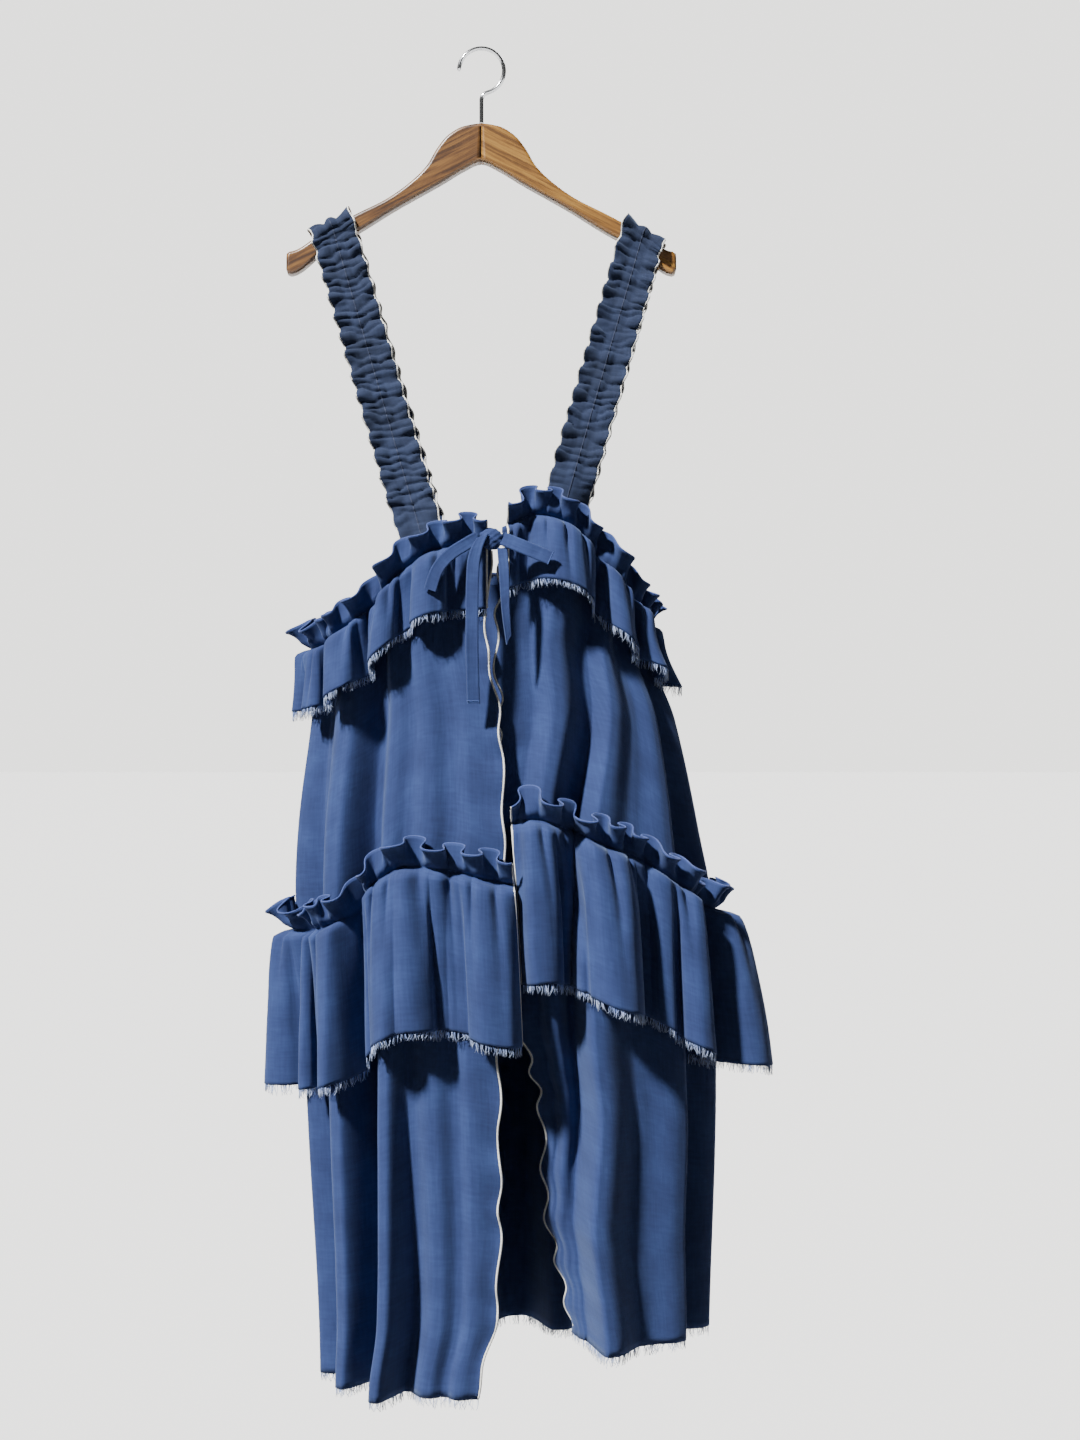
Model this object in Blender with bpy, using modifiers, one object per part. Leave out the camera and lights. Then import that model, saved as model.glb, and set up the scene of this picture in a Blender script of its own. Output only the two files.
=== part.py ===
"""A blue camisole dress hung on a wooden hanger.

Metres, +Z up. The origin is where a rail bears inside the top of the hook.
The front of the dress faces -Y, and the wearer's right is at -X.
"""
import math

import bmesh
import bpy
import numpy as np

# Cloth
WALL = 0.0013
SEAM_GAP = 0.0003
# A strip sewn on the skirt lies this far out from it, at its stitches and away from them.
STITCH_LIFT = 0.0014
LIFT = 0.0026
TURN = 2.0 * math.pi

# The dress in plan is one oval at each height.
# Columns: height, centre across, half width, half depth.
OVALS = (
    (-1.370, 0.034, 0.190, 0.085),
    (-1.080, 0.031, 0.200, 0.090),
    (-0.880, 0.023, 0.203, 0.092),
    (-0.800, 0.017, 0.196, 0.091),
    (-0.690, 0.012, 0.180, 0.086),
    (-0.600, -0.002, 0.163, 0.082),
    (-0.450, -0.002, 0.158, 0.078),
)

# Seam lines all round. A turn of 0 is the centre front, 0.25 the wearer's right side,
# 0.5 the centre back and 0.75 the wearer's left side.
# Columns: turn, height of the top line, of the flounce's stitch line, of the hem.
SEAM_LINES = (
    (-0.030, -0.516, -0.851, -1.360),
    (0.000, -0.517, -0.848, -1.360),
    (0.038, -0.522, -0.836, -1.360),
    (0.070, -0.540, -0.833, -1.360),
    (0.092, -0.561, -0.844, -1.360),
    (0.114, -0.580, -0.864, -1.360),
    (0.135, -0.595, -0.887, -1.360),
    (0.170, -0.610, -0.899, -1.360),
    (0.250, -0.617, -0.905, -1.360),
    (0.340, -0.603, -0.893, -1.352),
    (0.430, -0.560, -0.866, -1.342),
    (0.500, -0.545, -0.857, -1.336),
    (0.570, -0.547, -0.857, -1.330),
    (0.660, -0.578, -0.872, -1.320),
    (0.750, -0.592, -0.884, -1.312),
    (0.800, -0.577, -0.876, -1.312),
    (0.840, -0.552, -0.856, -1.312),
    (0.885, -0.511, -0.825, -1.312),
    (0.915, -0.492, -0.813, -1.312),
    (0.940, -0.487, -0.798, -1.312),
    (0.970, -0.497, -0.787, -1.312),
    (1.000, -0.509, -0.796, -1.312),
    (1.030, -0.512, -0.800, -1.312),
)

# Where the two front edges hang. Columns: drop, turn.
# The drop is 0 on the top line, 1 on the flounce's stitch line and 2 on the hem.
RIGHT_EDGE = (
    (0.00, -0.0145),
    (0.30, -0.008),
    (0.85, -0.007),
    (1.00, 0.000),
    (1.30, 0.007),
    (1.70, 0.010),
    (1.85, 0.0145),
    (2.00, 0.030),
)
LEFT_EDGE = (
    (0.00, 0.975),
    (0.25, 0.9785),
    (0.60, 0.991),
    (0.95, 1.003),
    (1.20, 1.000),
    (1.40, 0.989),
    (1.56, 0.9735),
    (1.75, 0.969),
    (1.85, 0.958),
    (2.00, 0.943),
)
RIGHT_SIDE = ((0.0, 0.2495), (2.0, 0.2495))
BACK_START = ((0.0, 0.2505), (2.0, 0.2505))
BACK_END = ((0.0, 0.7495), (2.0, 0.7495))
LEFT_SIDE = ((0.0, 0.7505), (2.0, 0.7505))

# Skirt folds, a row for each ridge, valley or edge, from a panel's first edge to its last.
# Columns: share of the panel's width at the top, the same at the hem,
# then how far out the cloth stands at the top line, the stitch line and the hem.
RIGHT_FRONT_FOLDS = (
    (0.00, 0.00, 0.005, 0.012, -0.004),
    (0.10, 0.08, 0.006, 0.014, 0.002),
    (0.18, 0.13, 0.004, 0.009, -0.005),
    (0.26, 0.20, 0.006, 0.015, 0.002),
    (0.30, 0.31, 0.004, 0.008, -0.012),
    (0.345, 0.39, 0.006, 0.013, 0.030),
    (0.43, 0.53, -0.001, -0.009, -0.040),
    (0.58, 0.63, 0.006, 0.012, 0.014),
    (0.79, 0.84, -0.006, -0.018, -0.022),
    (1.00, 1.00, 0.005, 0.010, 0.009),
)
BACK_FOLDS = (
    (0.00, 0.00, 0.005, 0.010, 0.009),
    (0.09, 0.08, -0.006, -0.016, -0.022),
    (0.17, 0.16, 0.005, 0.012, 0.018),
    (0.25, 0.25, -0.008, -0.022, -0.030),
    (0.34, 0.33, 0.006, 0.014, 0.026),
    (0.41, 0.42, -0.005, -0.014, -0.020),
    (0.50, 0.50, 0.006, 0.013, 0.020),
    (0.58, 0.59, -0.009, -0.024, -0.036),
    (0.67, 0.68, 0.006, 0.014, 0.026),
    (0.75, 0.75, -0.005, -0.014, -0.020),
    (0.83, 0.83, 0.005, 0.012, 0.020),
    (0.92, 0.92, -0.006, -0.018, -0.026),
    (1.00, 1.00, 0.005, 0.010, 0.009),
)
LEFT_FRONT_FOLDS = (
    (0.00, 0.00, 0.005, 0.010, 0.009),
    (0.20, 0.28, -0.005, -0.013, -0.016),
    (0.30, 0.45, 0.005, 0.012, 0.012),
    (0.37, 0.68, -0.001, 0.004, 0.004),
    (0.44, 0.90, 0.006, 0.014, 0.026),
    (0.50, 0.955, -0.006, -0.018, -0.028),
    (0.70, 0.972, 0.006, 0.012, -0.034),
    (0.84, 0.985, -0.003, -0.006, -0.044),
    (1.00, 1.00, 0.000, -0.005, -0.055),
)

# Each panel runs from its first edge to its last, the way the turn runs.
PANELS = {
    "right_front": (RIGHT_EDGE, RIGHT_SIDE, RIGHT_FRONT_FOLDS),
    "back": (BACK_START, BACK_END, BACK_FOLDS),
    "left_front": (LEFT_SIDE, LEFT_EDGE, LEFT_FRONT_FOLDS),
}

# Waist frill: a standing header and a short fall below the stitch line.
FRILL_HEADER = 0.029
FRILL_FALL = 0.064
FRILL_LEAN = 0.003
FRILL_WAVE = 0.016
# How far each flap of the fall stands out at its hem. Columns: turn, out.
FRILL_FLAPS = (
    (-0.030, 0.004),
    (0.005, 0.013),
    (0.028, 0.002),
    (0.050, 0.023),
    (0.068, 0.003),
    (0.080, 0.016),
    (0.094, 0.002),
    (0.119, 0.023),
    (0.150, 0.003),
    (0.195, 0.026),
    (0.235, 0.009),
    (0.250, 0.013),
    (0.290, 0.024),
    (0.330, 0.004),
    (0.375, 0.023),
    (0.415, 0.004),
    (0.460, 0.024),
    (0.500, 0.004),
    (0.545, 0.022),
    (0.590, 0.004),
    (0.635, 0.024),
    (0.680, 0.004),
    (0.715, 0.022),
    (0.750, 0.016),
    (0.772, 0.007),
    (0.802, 0.026),
    (0.855, 0.002),
    (0.885, 0.022),
    (0.912, 0.014),
    (0.940, 0.023),
    (0.958, 0.009),
    (0.975, 0.014),
)

# Middle flounce, made in the same way.
FLOUNCE_HEADER = 0.030
FLOUNCE_FALL = 0.157
FLOUNCE_LEAN = 0.003
FLOUNCE_WAVE = 0.017
FLOUNCE_FLAPS = (
    (-0.0115, 0.013),
    (0.008, 0.027),
    (0.024, 0.024),
    (0.042, 0.002),
    (0.060, 0.028),
    (0.082, 0.022),
    (0.103, 0.026),
    (0.122, 0.015),
    (0.142, 0.023),
    (0.165, 0.013),
    (0.190, 0.033),
    (0.218, 0.006),
    (0.250, 0.040),
    (0.290, 0.008),
    (0.330, 0.038),
    (0.375, 0.011),
    (0.420, 0.038),
    (0.460, 0.011),
    (0.505, 0.038),
    (0.550, 0.008),
    (0.595, 0.038),
    (0.635, 0.008),
    (0.680, 0.036),
    (0.715, 0.008),
    (0.750, 0.051),
    (0.778, 0.056),
    (0.808, 0.006),
    (0.835, 0.026),
    (0.858, 0.002),
    (0.885, 0.029),
    (0.915, 0.029),
    (0.932, 0.002),
    (0.950, 0.027),
    (0.975, 0.024),
    (0.988, 0.013),
)

# Gathered strips, a row for each piece.
# Columns: piece, panel below it, first and last turn, waves in its header.
FRILL_PIECES = (
    ("right_front", -0.0097, 0.2495, 8),
    ("back", 0.2505, 0.7495, 13),
    ("left_front", 0.7505, 0.970, 7),
)
FLOUNCE_PIECES = (
    ("right_front", -0.0105, 0.2495, 9),
    ("back", 0.2505, 0.7495, 16),
    ("left_front", 0.7505, 0.987, 9),
)
STEPS_PER_WAVE = 3

# Frayed edges
FRAY_GAP = 0.0011
FRAY_STRIP = 0.003
FRAY_LOCK = 0.011
# About how far the skirt's hem is from the flounce's stitch line, which is one unit of drop.
DROP_LENGTH = 0.48

# Shoulder straps. Across the hanger is X; a strap tips by its lean.
STRAP_WIDTH = 0.043
STRAP_RUFFLE = 0.007
STRAP_PITCH = 0.0227
STRAP_TUCK = 0.014
# Columns: side, where its middle crosses the hanger, where it meets the top line, its turn
# at the front and at the back.
STRAPS = (
    ("right", -0.153, -0.051, 0.052, 0.448),
    ("left", 0.166, 0.082, 0.932, 0.568),
)

# Hanger
HANGER_THICK = 0.016
HANGER_BEVEL = 0.004
# Half of its outline, from the middle of its top round to the middle of its underside.
# Columns: across, height.
HANGER_OUTLINE = (
    (0.00015, -0.0767),
    (0.018, -0.0795),
    (0.034, -0.0885),
    (0.046, -0.1030),
    (0.056, -0.1200),
    (0.075, -0.1385),
    (0.098, -0.1545),
    (0.127, -0.1690),
    (0.160, -0.1865),
    (0.1985, -0.2085),
    (0.2005, -0.2125),
    (0.2005, -0.2290),
    (0.1965, -0.2320),
    (0.160, -0.2070),
    (0.123, -0.1860),
    (0.090, -0.1655),
    (0.0396, -0.1370),
    (0.018, -0.1240),
    (0.00015, -0.1165),
)
HOOK_WIRE = 0.0021
HOOK_RADIUS = 0.0232
HOOK_BEND = 0.0081
HOOK_SWEEP = math.radians(75.0)


def material(name, colour, roughness, metallic=0.0):
    """A plain material with an sRGB colour written as hex."""
    finish = bpy.data.materials.new(name)
    finish.use_nodes = True
    shader = finish.node_tree.nodes["Principled BSDF"]
    parts = [int(colour[i:i + 2], 16) / 255.0 for i in (0, 2, 4)]
    linear = [c / 12.92 if c <= 0.04045 else ((c + 0.055) / 1.055) ** 2.4 for c in parts]
    shader.inputs["Base Color"].default_value = (*linear, 1.0)
    shader.inputs["Roughness"].default_value = roughness
    shader.inputs["Metallic"].default_value = metallic
    return finish


def ease(u):
    """Goes from 0 to 1 with a level start and end, as a fold does from valley to ridge."""
    u = np.clip(u, 0.0, 1.0)
    return u * u * (3.0 - 2.0 * u)


def curve_through(rows, column, x):
    """A table's column at x, on a smooth curve that never passes beyond its rows."""
    xs = np.array([row[0] for row in rows])
    ys = np.array([row[column] for row in rows])
    steps = np.diff(xs)
    slopes = np.diff(ys) / steps
    tangents = np.zeros(len(xs))
    before, after = slopes[:-1], slopes[1:]
    same = before * after > 0.0
    tangents[1:-1][same] = 2.0 * before[same] * after[same] / (before[same] + after[same])
    i = np.clip(np.searchsorted(xs, x, side="right") - 1, 0, len(steps) - 1)
    u = np.clip((x - xs[i]) / steps[i], 0.0, 1.0)
    first = (1.0 + 2.0 * u) * (1.0 - u) ** 2 * ys[i] + u * u * (3.0 - 2.0 * u) * ys[i + 1]
    second = u * (1.0 - u) ** 2 * tangents[i] - u * u * (1.0 - u) * tangents[i + 1]
    return first + second * steps[i]


def around(turn, height, out):
    """The point at a turn and a height, moved out from the oval along its normal."""
    centre = curve_through(OVALS, 1, height)
    width = curve_through(OVALS, 2, height)
    depth = curve_through(OVALS, 3, height)
    sine, cosine = np.sin(TURN * turn), np.cos(TURN * turn)
    normal_x, normal_y = -sine / width, -cosine / depth
    size = np.hypot(normal_x, normal_y)
    x = centre - width * sine + out * normal_x / size
    y = -depth * cosine + out * normal_y / size
    return np.stack([x, y, height + 0.0 * x], axis=-1)


def height_at(turn, drop):
    """The height at a drop, from the three seam lines."""
    top = curve_through(SEAM_LINES, 1, turn)
    stitch = curve_through(SEAM_LINES, 2, turn)
    hem = curve_through(SEAM_LINES, 3, turn)
    below = stitch + (drop - 1.0) * (hem - stitch)
    return np.where(drop < 1.0, top + drop * (stitch - top), below)


def drop_at(turn, height):
    """The drop at a height, the other way round."""
    top = curve_through(SEAM_LINES, 1, turn)
    stitch = curve_through(SEAM_LINES, 2, turn)
    hem = curve_through(SEAM_LINES, 3, turn)
    above = (height - top) / (stitch - top)
    return np.where(height > stitch, above, 1.0 + (height - stitch) / (hem - stitch))


def turn_at(panel, share, drop):
    """The turn at a share of a panel's width."""
    first = curve_through(PANELS[panel][0], 1, drop)
    last = curve_through(PANELS[panel][1], 1, drop)
    return first + share * (last - first)


def skirt_out(panel, share, drop):
    """How far out the skirt stands, worked out from its panel's fold table."""
    drop = np.clip(drop, 0.0, 2.0)
    out, place_before, depth_before = 0.0, None, None
    for top_place, hem_place, top, stitch, hem in PANELS[panel][2]:
        place = top_place + (hem_place - top_place) * drop / 2.0
        depth = curve_through(((0.0, top), (1.0, stitch), (2.0, hem)), 1, drop)
        if place_before is None:
            out = depth
        else:
            out = out + (depth - depth_before) * ease((share - place_before) / (place - place_before))
        place_before, depth_before = place, depth
    return out


def skirt_point(panel, share, drop):
    turn = turn_at(panel, share, drop)
    return around(turn, height_at(turn, drop), skirt_out(panel, share, drop))


def cover_out(panel, turn, drop, reach=0.009):
    """The furthest that the skirt stands out close to a turn, which a strip on it clears."""
    first = curve_through(PANELS[panel][0], 1, drop)
    last = curve_through(PANELS[panel][1], 1, drop)
    furthest = None
    for step in np.linspace(-reach, reach, 5):
        share = np.clip((turn + step - first) / (last - first), 0.0, 1.0)
        out = skirt_out(panel, share, drop)
        furthest = out if furthest is None else np.maximum(furthest, out)
    return furthest


def flap_out(flaps, turn):
    """How far out a strip's hem stands at a turn, from its flap table."""
    out, place_before, depth_before = 0.0, None, None
    for place, depth in flaps:
        if place_before is None:
            out = depth + 0.0 * turn
        else:
            out = out + (depth - depth_before) * ease((turn - place_before) / (place - place_before))
        place_before, depth_before = place, depth
    return out


def strip_point(strip, piece, share, fall):
    """A point of a gathered strip: fall is -1 on its header's edge, 0 on its stitches, 1 at its hem."""
    panel, first, last, waves = piece
    turn = first + share * (last - first) + 0.0 * fall
    phase = TURN * waves * (share + 0.010 * np.sin(TURN * 2.0 * share))
    swell = 0.5 + 0.5 * np.cos(phase)
    size = 0.8 + 0.3 * np.sin(TURN * 3.0 * share)
    up = np.clip(-fall, 0.0, 1.0)
    down = np.maximum(fall, 0.0)
    seam = height_at(turn, 0.0 * turn + strip["line"])
    header = strip["header"] * up * (1.0 - 0.3 * swell * size)
    height = seam + header - strip["fall"] * down
    out = cover_out(panel, turn, np.clip(drop_at(turn, height), 0.0, 2.0))
    out = out + STITCH_LIFT + (LIFT - STITCH_LIFT) * np.minimum(1.0, 4.0 * abs(fall))
    out = out + up ** 1.2 * (strip["lean"] + strip["wave"] * size * swell)
    out = out + down ** 0.8 * flap_out(strip["flaps"], turn)
    out = out + 0.0015 * swell * np.clip(1.0 - down, 0.0, 1.0)
    return around(turn, height, out)


FRILL = {
    "line": 0.0, "header": FRILL_HEADER, "fall": FRILL_FALL,
    "lean": FRILL_LEAN, "wave": FRILL_WAVE, "flaps": FRILL_FLAPS,
}
FLOUNCE = {
    "line": 1.0, "header": FLOUNCE_HEADER, "fall": FLOUNCE_FALL,
    "lean": FLOUNCE_LEAN, "wave": FLOUNCE_WAVE, "flaps": FLOUNCE_FLAPS,
}


def add_object(name, mesh, finish, parts):
    thing = bpy.data.objects.new(name, mesh)
    mesh.materials.append(finish)
    parts.objects.link(thing)
    return thing


def net_of(points):
    """An open grid through rows of points, its faces outward, and its vertices by row and column."""
    rows, columns = points.shape[:2]
    net = bmesh.new()
    bmesh.ops.create_grid(net, x_segments=columns - 1, y_segments=rows - 1, size=0.5)
    places = {}
    for vertex in net.verts:
        column = round((0.5 - vertex.co.x) * (columns - 1))
        row = round((0.5 - vertex.co.y) * (rows - 1))
        vertex.co = points[row, column]
        places[row, column] = vertex
    return net, places


def cloth(name, net, finish, parts, wall=WALL):
    """Turns an open grid into cloth with a wall."""
    mesh = bpy.data.meshes.new(name)
    net.to_mesh(mesh)
    net.free()
    mesh.shade_smooth()
    piece = add_object(name, mesh, finish, parts)
    shell = piece.modifiers.new("wall", "SOLIDIFY")
    shell.thickness = wall
    shell.offset = 1.0
    return piece


def fray(name, edge, root, tips, finish, parts):
    """A narrow strip below a hem, with a lock hanging from every other step of it."""
    net, places = net_of(np.stack([edge, root]))
    for column in range(0, edge.shape[0] - 1, 2):
        ends = (places[1, column], places[1, column + 1])
        base = next(e for e in ends[0].link_edges if e.other_vert(ends[0]) is ends[1])
        grown = bmesh.ops.extrude_edge_only(net, edges=[base])["geom"]
        fresh = [g for g in grown if isinstance(g, bmesh.types.BMVert)]
        near_first = (fresh[0].co - ends[0].co).length < (fresh[1].co - ends[0].co).length
        first, second = fresh if near_first else reversed(fresh)
        first.co = tips[column] * 0.65 + tips[column + 1] * 0.35
        second.co = tips[column] * 0.35 + tips[column + 1] * 0.65
    bmesh.ops.recalc_face_normals(net, faces=net.faces)
    middle = net.faces[0]
    centre = middle.calc_center_median()
    if middle.normal.x * (centre.x - OVALS[0][1]) + middle.normal.y * centre.y < 0.0:
        bmesh.ops.reverse_faces(net, faces=net.faces)
    return cloth(name, net, finish, parts)


def fold_columns(count):
    """Two columns on each side of a fold, which keep its crest and its valley broad."""
    inner = [i + side for i in range(count) for side in (0.16, 0.84)]
    return np.array([0.0] + inner + [float(count)])


def share_of_fold(panel, column, drop):
    """The share of a panel's width at a place counted in fold rows."""
    rows = PANELS[panel][2]
    i = np.clip(np.floor(column).astype(int), 0, len(rows) - 2)
    top = np.array([row[0] for row in rows])
    hem = np.array([row[1] for row in rows])
    places = top + (hem - top) * min(drop, 2.0) / 2.0
    return places[i] + (column - i) * (places[i + 1] - places[i])


def make_skirt(cloth_finish, fray_finish, parts):
    drops = (0.0, 0.12, 0.35, 0.68, 1.0, 1.2, 1.45, 1.72, 2.0)
    for panel in PANELS:
        columns = fold_columns(len(PANELS[panel][2]) - 1)

        def row_at(drop):
            shares = share_of_fold(panel, columns, drop)
            return skirt_point(panel, shares, drop + 0.0 * shares)

        net, _ = net_of(np.stack([row_at(drop) for drop in drops]))
        cloth("skirt_" + panel, net, cloth_finish, parts)
        edge, root, tips = [
            row_at(2.0 + below / DROP_LENGTH)
            for below in (FRAY_GAP, FRAY_GAP + FRAY_STRIP, FRAY_STRIP + FRAY_LOCK)
        ]
        fray("skirt_fray_" + panel, edge, root, tips, fray_finish, parts)


def make_strip(name, strip, pieces, falls, cloth_finish, fray_finish, parts):
    for piece in pieces:
        shares = np.linspace(0.0, 1.0, piece[3] * STEPS_PER_WAVE + 1)

        def row_at(fall):
            return strip_point(strip, piece, shares, fall + 0.0 * shares)

        net, _ = net_of(np.stack([row_at(fall) for fall in falls]))
        cloth(name + "_" + piece[0], net, cloth_finish, parts)
        edge, root, tips = [
            row_at(1.0 + below / strip["fall"])
            for below in (FRAY_GAP, FRAY_GAP + FRAY_STRIP, FRAY_STRIP + FRAY_LOCK)
        ]
        fray(name + "_fray_" + piece[0], edge, root, tips, fray_finish, parts)


def hanger_top(across):
    """The height of the hanger's upper edge."""
    return curve_through(HANGER_OUTLINE[:10], 1, abs(across))


def strap_path(crossing, base_across, front_turn, back_turn):
    """A strap's middle line in its own plane, from the back of the waist over to the front.

    Columns: distance below the hanger along the strap, and depth.
    """
    top = float(hanger_top(crossing))
    front = float(height_at(front_turn, 0.0)) - STRAP_TUCK
    back = float(height_at(back_turn, 0.0)) - STRAP_TUCK
    lean = (base_across - crossing) / (top - float(height_at(front_turn, 0.0)))
    stretch = math.hypot(1.0, lean)
    near = HANGER_THICK / 2.0 + 0.0008
    front_far = float(around(front_turn, front, 0.0)[1])
    back_far = float(around(back_turn, back, 0.0)[1])
    rows = (
        ((top - back) * stretch, back_far),
        (0.030, near + 0.0030),
        (0.010, near),
        (0.0002, near),
        (-0.0026, 0.0052),
        (-0.0030, 0.0),
        (-0.0026, -0.0052),
        (0.0002, -near),
        (0.010, -near),
        (0.030, -near - 0.0030),
        ((top - front) * stretch, front_far),
    )
    return np.array(rows), lean, top


def make_strap(side, crossing, base_across, front_turn, back_turn, finish, parts):
    path, lean, top = strap_path(crossing, base_across, front_turn, back_turn)
    lengths = np.concatenate([[0.0], np.cumsum(np.hypot(*np.diff(path, axis=0).T))])
    waves = round(lengths[-1] / STRAP_PITCH)
    along = np.linspace(0.0, lengths[-1], waves * STEPS_PER_WAVE + 1)
    off_arm = (along < lengths[2] - 0.003) | (along > lengths[8] + 0.003)
    along = np.sort(np.concatenate([along[off_arm], lengths[2:9]]))
    down = np.interp(along, lengths, path[:, 0])
    depth = np.interp(along, lengths, path[:, 1])
    stretch = math.hypot(1.0, lean)
    middle = np.stack([crossing + down * lean / stretch, depth, top - down / stretch], axis=-1)
    tangent = np.gradient(middle, axis=0)
    arm_slope = (float(hanger_top(abs(crossing) + 0.01)) - float(hanger_top(abs(crossing) - 0.01))) / 0.02
    tip = math.atan(-arm_slope) * np.exp(-down / 0.05) + 0.18 * (1.0 - np.exp(-down / 0.05))
    tip = tip * (-1.0 if crossing > 0.0 else 1.0)
    across = np.stack([np.cos(tip), 0.0 * tip, np.sin(tip)], axis=-1)
    normal = np.cross(tangent, across)
    normal /= np.linalg.norm(normal, axis=1)[:, None]
    phase = TURN * waves * along / lengths[-1]
    line = np.where(depth < 0.0, height_at(front_turn, 0.0), height_at(back_turn, 0.0))
    clear = ease((middle[:, 2] - line - 0.012) / 0.045)
    wall_share = 1.0 - ease((middle[:, 2] - line - 0.004) / 0.050)
    rows = []
    for place in (-1.0, -0.55, 0.0, 0.55, 1.0):
        swell = 0.5 - 0.5 * np.cos(phase + 0.6 * (place > 0.0))
        half = STRAP_WIDTH / 2.0 * (0.93 + 0.1 * swell * clear)
        ruffle = STRAP_RUFFLE * abs(place) ** 2 * swell * clear
        point = middle + across * (place * half)[:, None] + normal * ruffle[:, None]
        centre = curve_through(OVALS, 1, np.minimum(point[:, 2], line))
        width = curve_through(OVALS, 2, np.minimum(point[:, 2], line))
        sine = np.clip((centre - point[:, 0]) / width, -0.98, 0.98)
        turn = np.arcsin(sine) / TURN
        turn = np.where(depth < 0.0, np.where(turn < 0.0, turn + 1.0, turn), 0.5 - turn)
        panel = np.where(depth < 0.0, side + "_front", "back")
        inside = np.zeros(len(turn))
        for name in (side + "_front", "back"):
            first = curve_through(PANELS[name][0], 1, 0.0)
            last = curve_through(PANELS[name][1], 1, 0.0)
            low = skirt_out(name, (turn - first) / (last - first), 0.0 * turn)
            inside = np.where(panel == name, low, inside)
        hidden = around(turn, np.minimum(point[:, 2], line), inside - WALL - 0.0017)[:, 1]
        point[:, 1] += (hidden - point[:, 1]) * wall_share
        rows.append(point)
    net, _ = net_of(np.stack(rows, axis=0))
    cloth("strap_" + side, net, finish, parts)


def ribbon(name, rows, width, finish, parts, wall=0.0016):
    """A flat tie. Columns: across, depth, height, and the angle of its width from level."""
    rows = np.array(rows)
    angle = np.radians(rows[:, 3])
    across = np.stack([np.cos(angle), 0.0 * angle, np.sin(angle)], axis=-1)
    left = rows[:, :3] + across * width / 2.0
    right = rows[:, :3] - across * width / 2.0
    net, _ = net_of(np.stack([left, right], axis=1))
    cloth(name, net, finish, parts, wall)


def make_hanger(finish, parts):
    for side, sign in (("left", 1.0), ("right", -1.0)):
        flat = bmesh.new()
        corners = [flat.verts.new((sign * x, HANGER_THICK / 2.0, z)) for x, z in HANGER_OUTLINE]
        flat.faces.new(corners)
        weight = flat.edges.layers.float.new("bevel_weight_edge")
        for edge in flat.edges:
            at_joint = all(abs(corner.co.x) < 0.001 for corner in edge.verts)
            edge[weight] = 0.0 if at_joint else 1.0
        bmesh.ops.recalc_face_normals(flat, faces=flat.faces)
        if flat.faces[:][0].normal.y > 0.0:
            bmesh.ops.reverse_faces(flat, faces=flat.faces[:])
        mesh = bpy.data.meshes.new("hanger_" + side)
        flat.to_mesh(mesh)
        flat.free()
        arm = add_object("hanger_" + side, mesh, finish, parts)
        thick = arm.modifiers.new("thickness", "SOLIDIFY")
        thick.thickness = HANGER_THICK
        thick.offset = 1.0
        round_edge = arm.modifiers.new("rounded edge", "BEVEL")
        round_edge.width = HANGER_BEVEL
        round_edge.segments = 2
        round_edge.limit_method = "WEIGHT"


def make_hook(finish, parts):
    """A wire from its open end over the top and down its stem."""
    start, end = math.radians(180.0), -HOOK_SWEEP
    centre = -HOOK_RADIUS + HOOK_WIRE
    points = []
    for i in range(23):
        angle = start + (end - start) * i / 22.0
        points.append((HOOK_RADIUS * math.cos(angle), centre + HOOK_RADIUS * math.sin(angle)))
    last_x, last_z = points[-1]
    turn_x = last_x + HOOK_BEND * math.cos(end)
    turn_z = last_z + HOOK_BEND * math.sin(end)
    shift = turn_x - HOOK_BEND
    for i in range(1, 6):
        angle = end + math.pi + (math.pi - end - math.pi) * i / 5.0
        points.append((turn_x + HOOK_BEND * math.cos(angle), turn_z + HOOK_BEND * math.sin(angle)))
    points = [(x - shift, z) for x, z in points]
    points.append((0.0, HANGER_OUTLINE[0][1] + SEAM_GAP))
    wire = bpy.data.curves.new("hook", "CURVE")
    wire.dimensions = "3D"
    wire.bevel_depth = HOOK_WIRE
    wire.bevel_resolution = 2
    wire.use_fill_caps = True
    line = wire.splines.new("POLY")
    line.points.add(len(points) - 1)
    for point, (x, z) in zip(line.points, points):
        point.co = (x, 0.0, z, 1.0)
    wire.materials.append(finish)
    parts.objects.link(bpy.data.objects.new("hook", wire))


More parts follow.
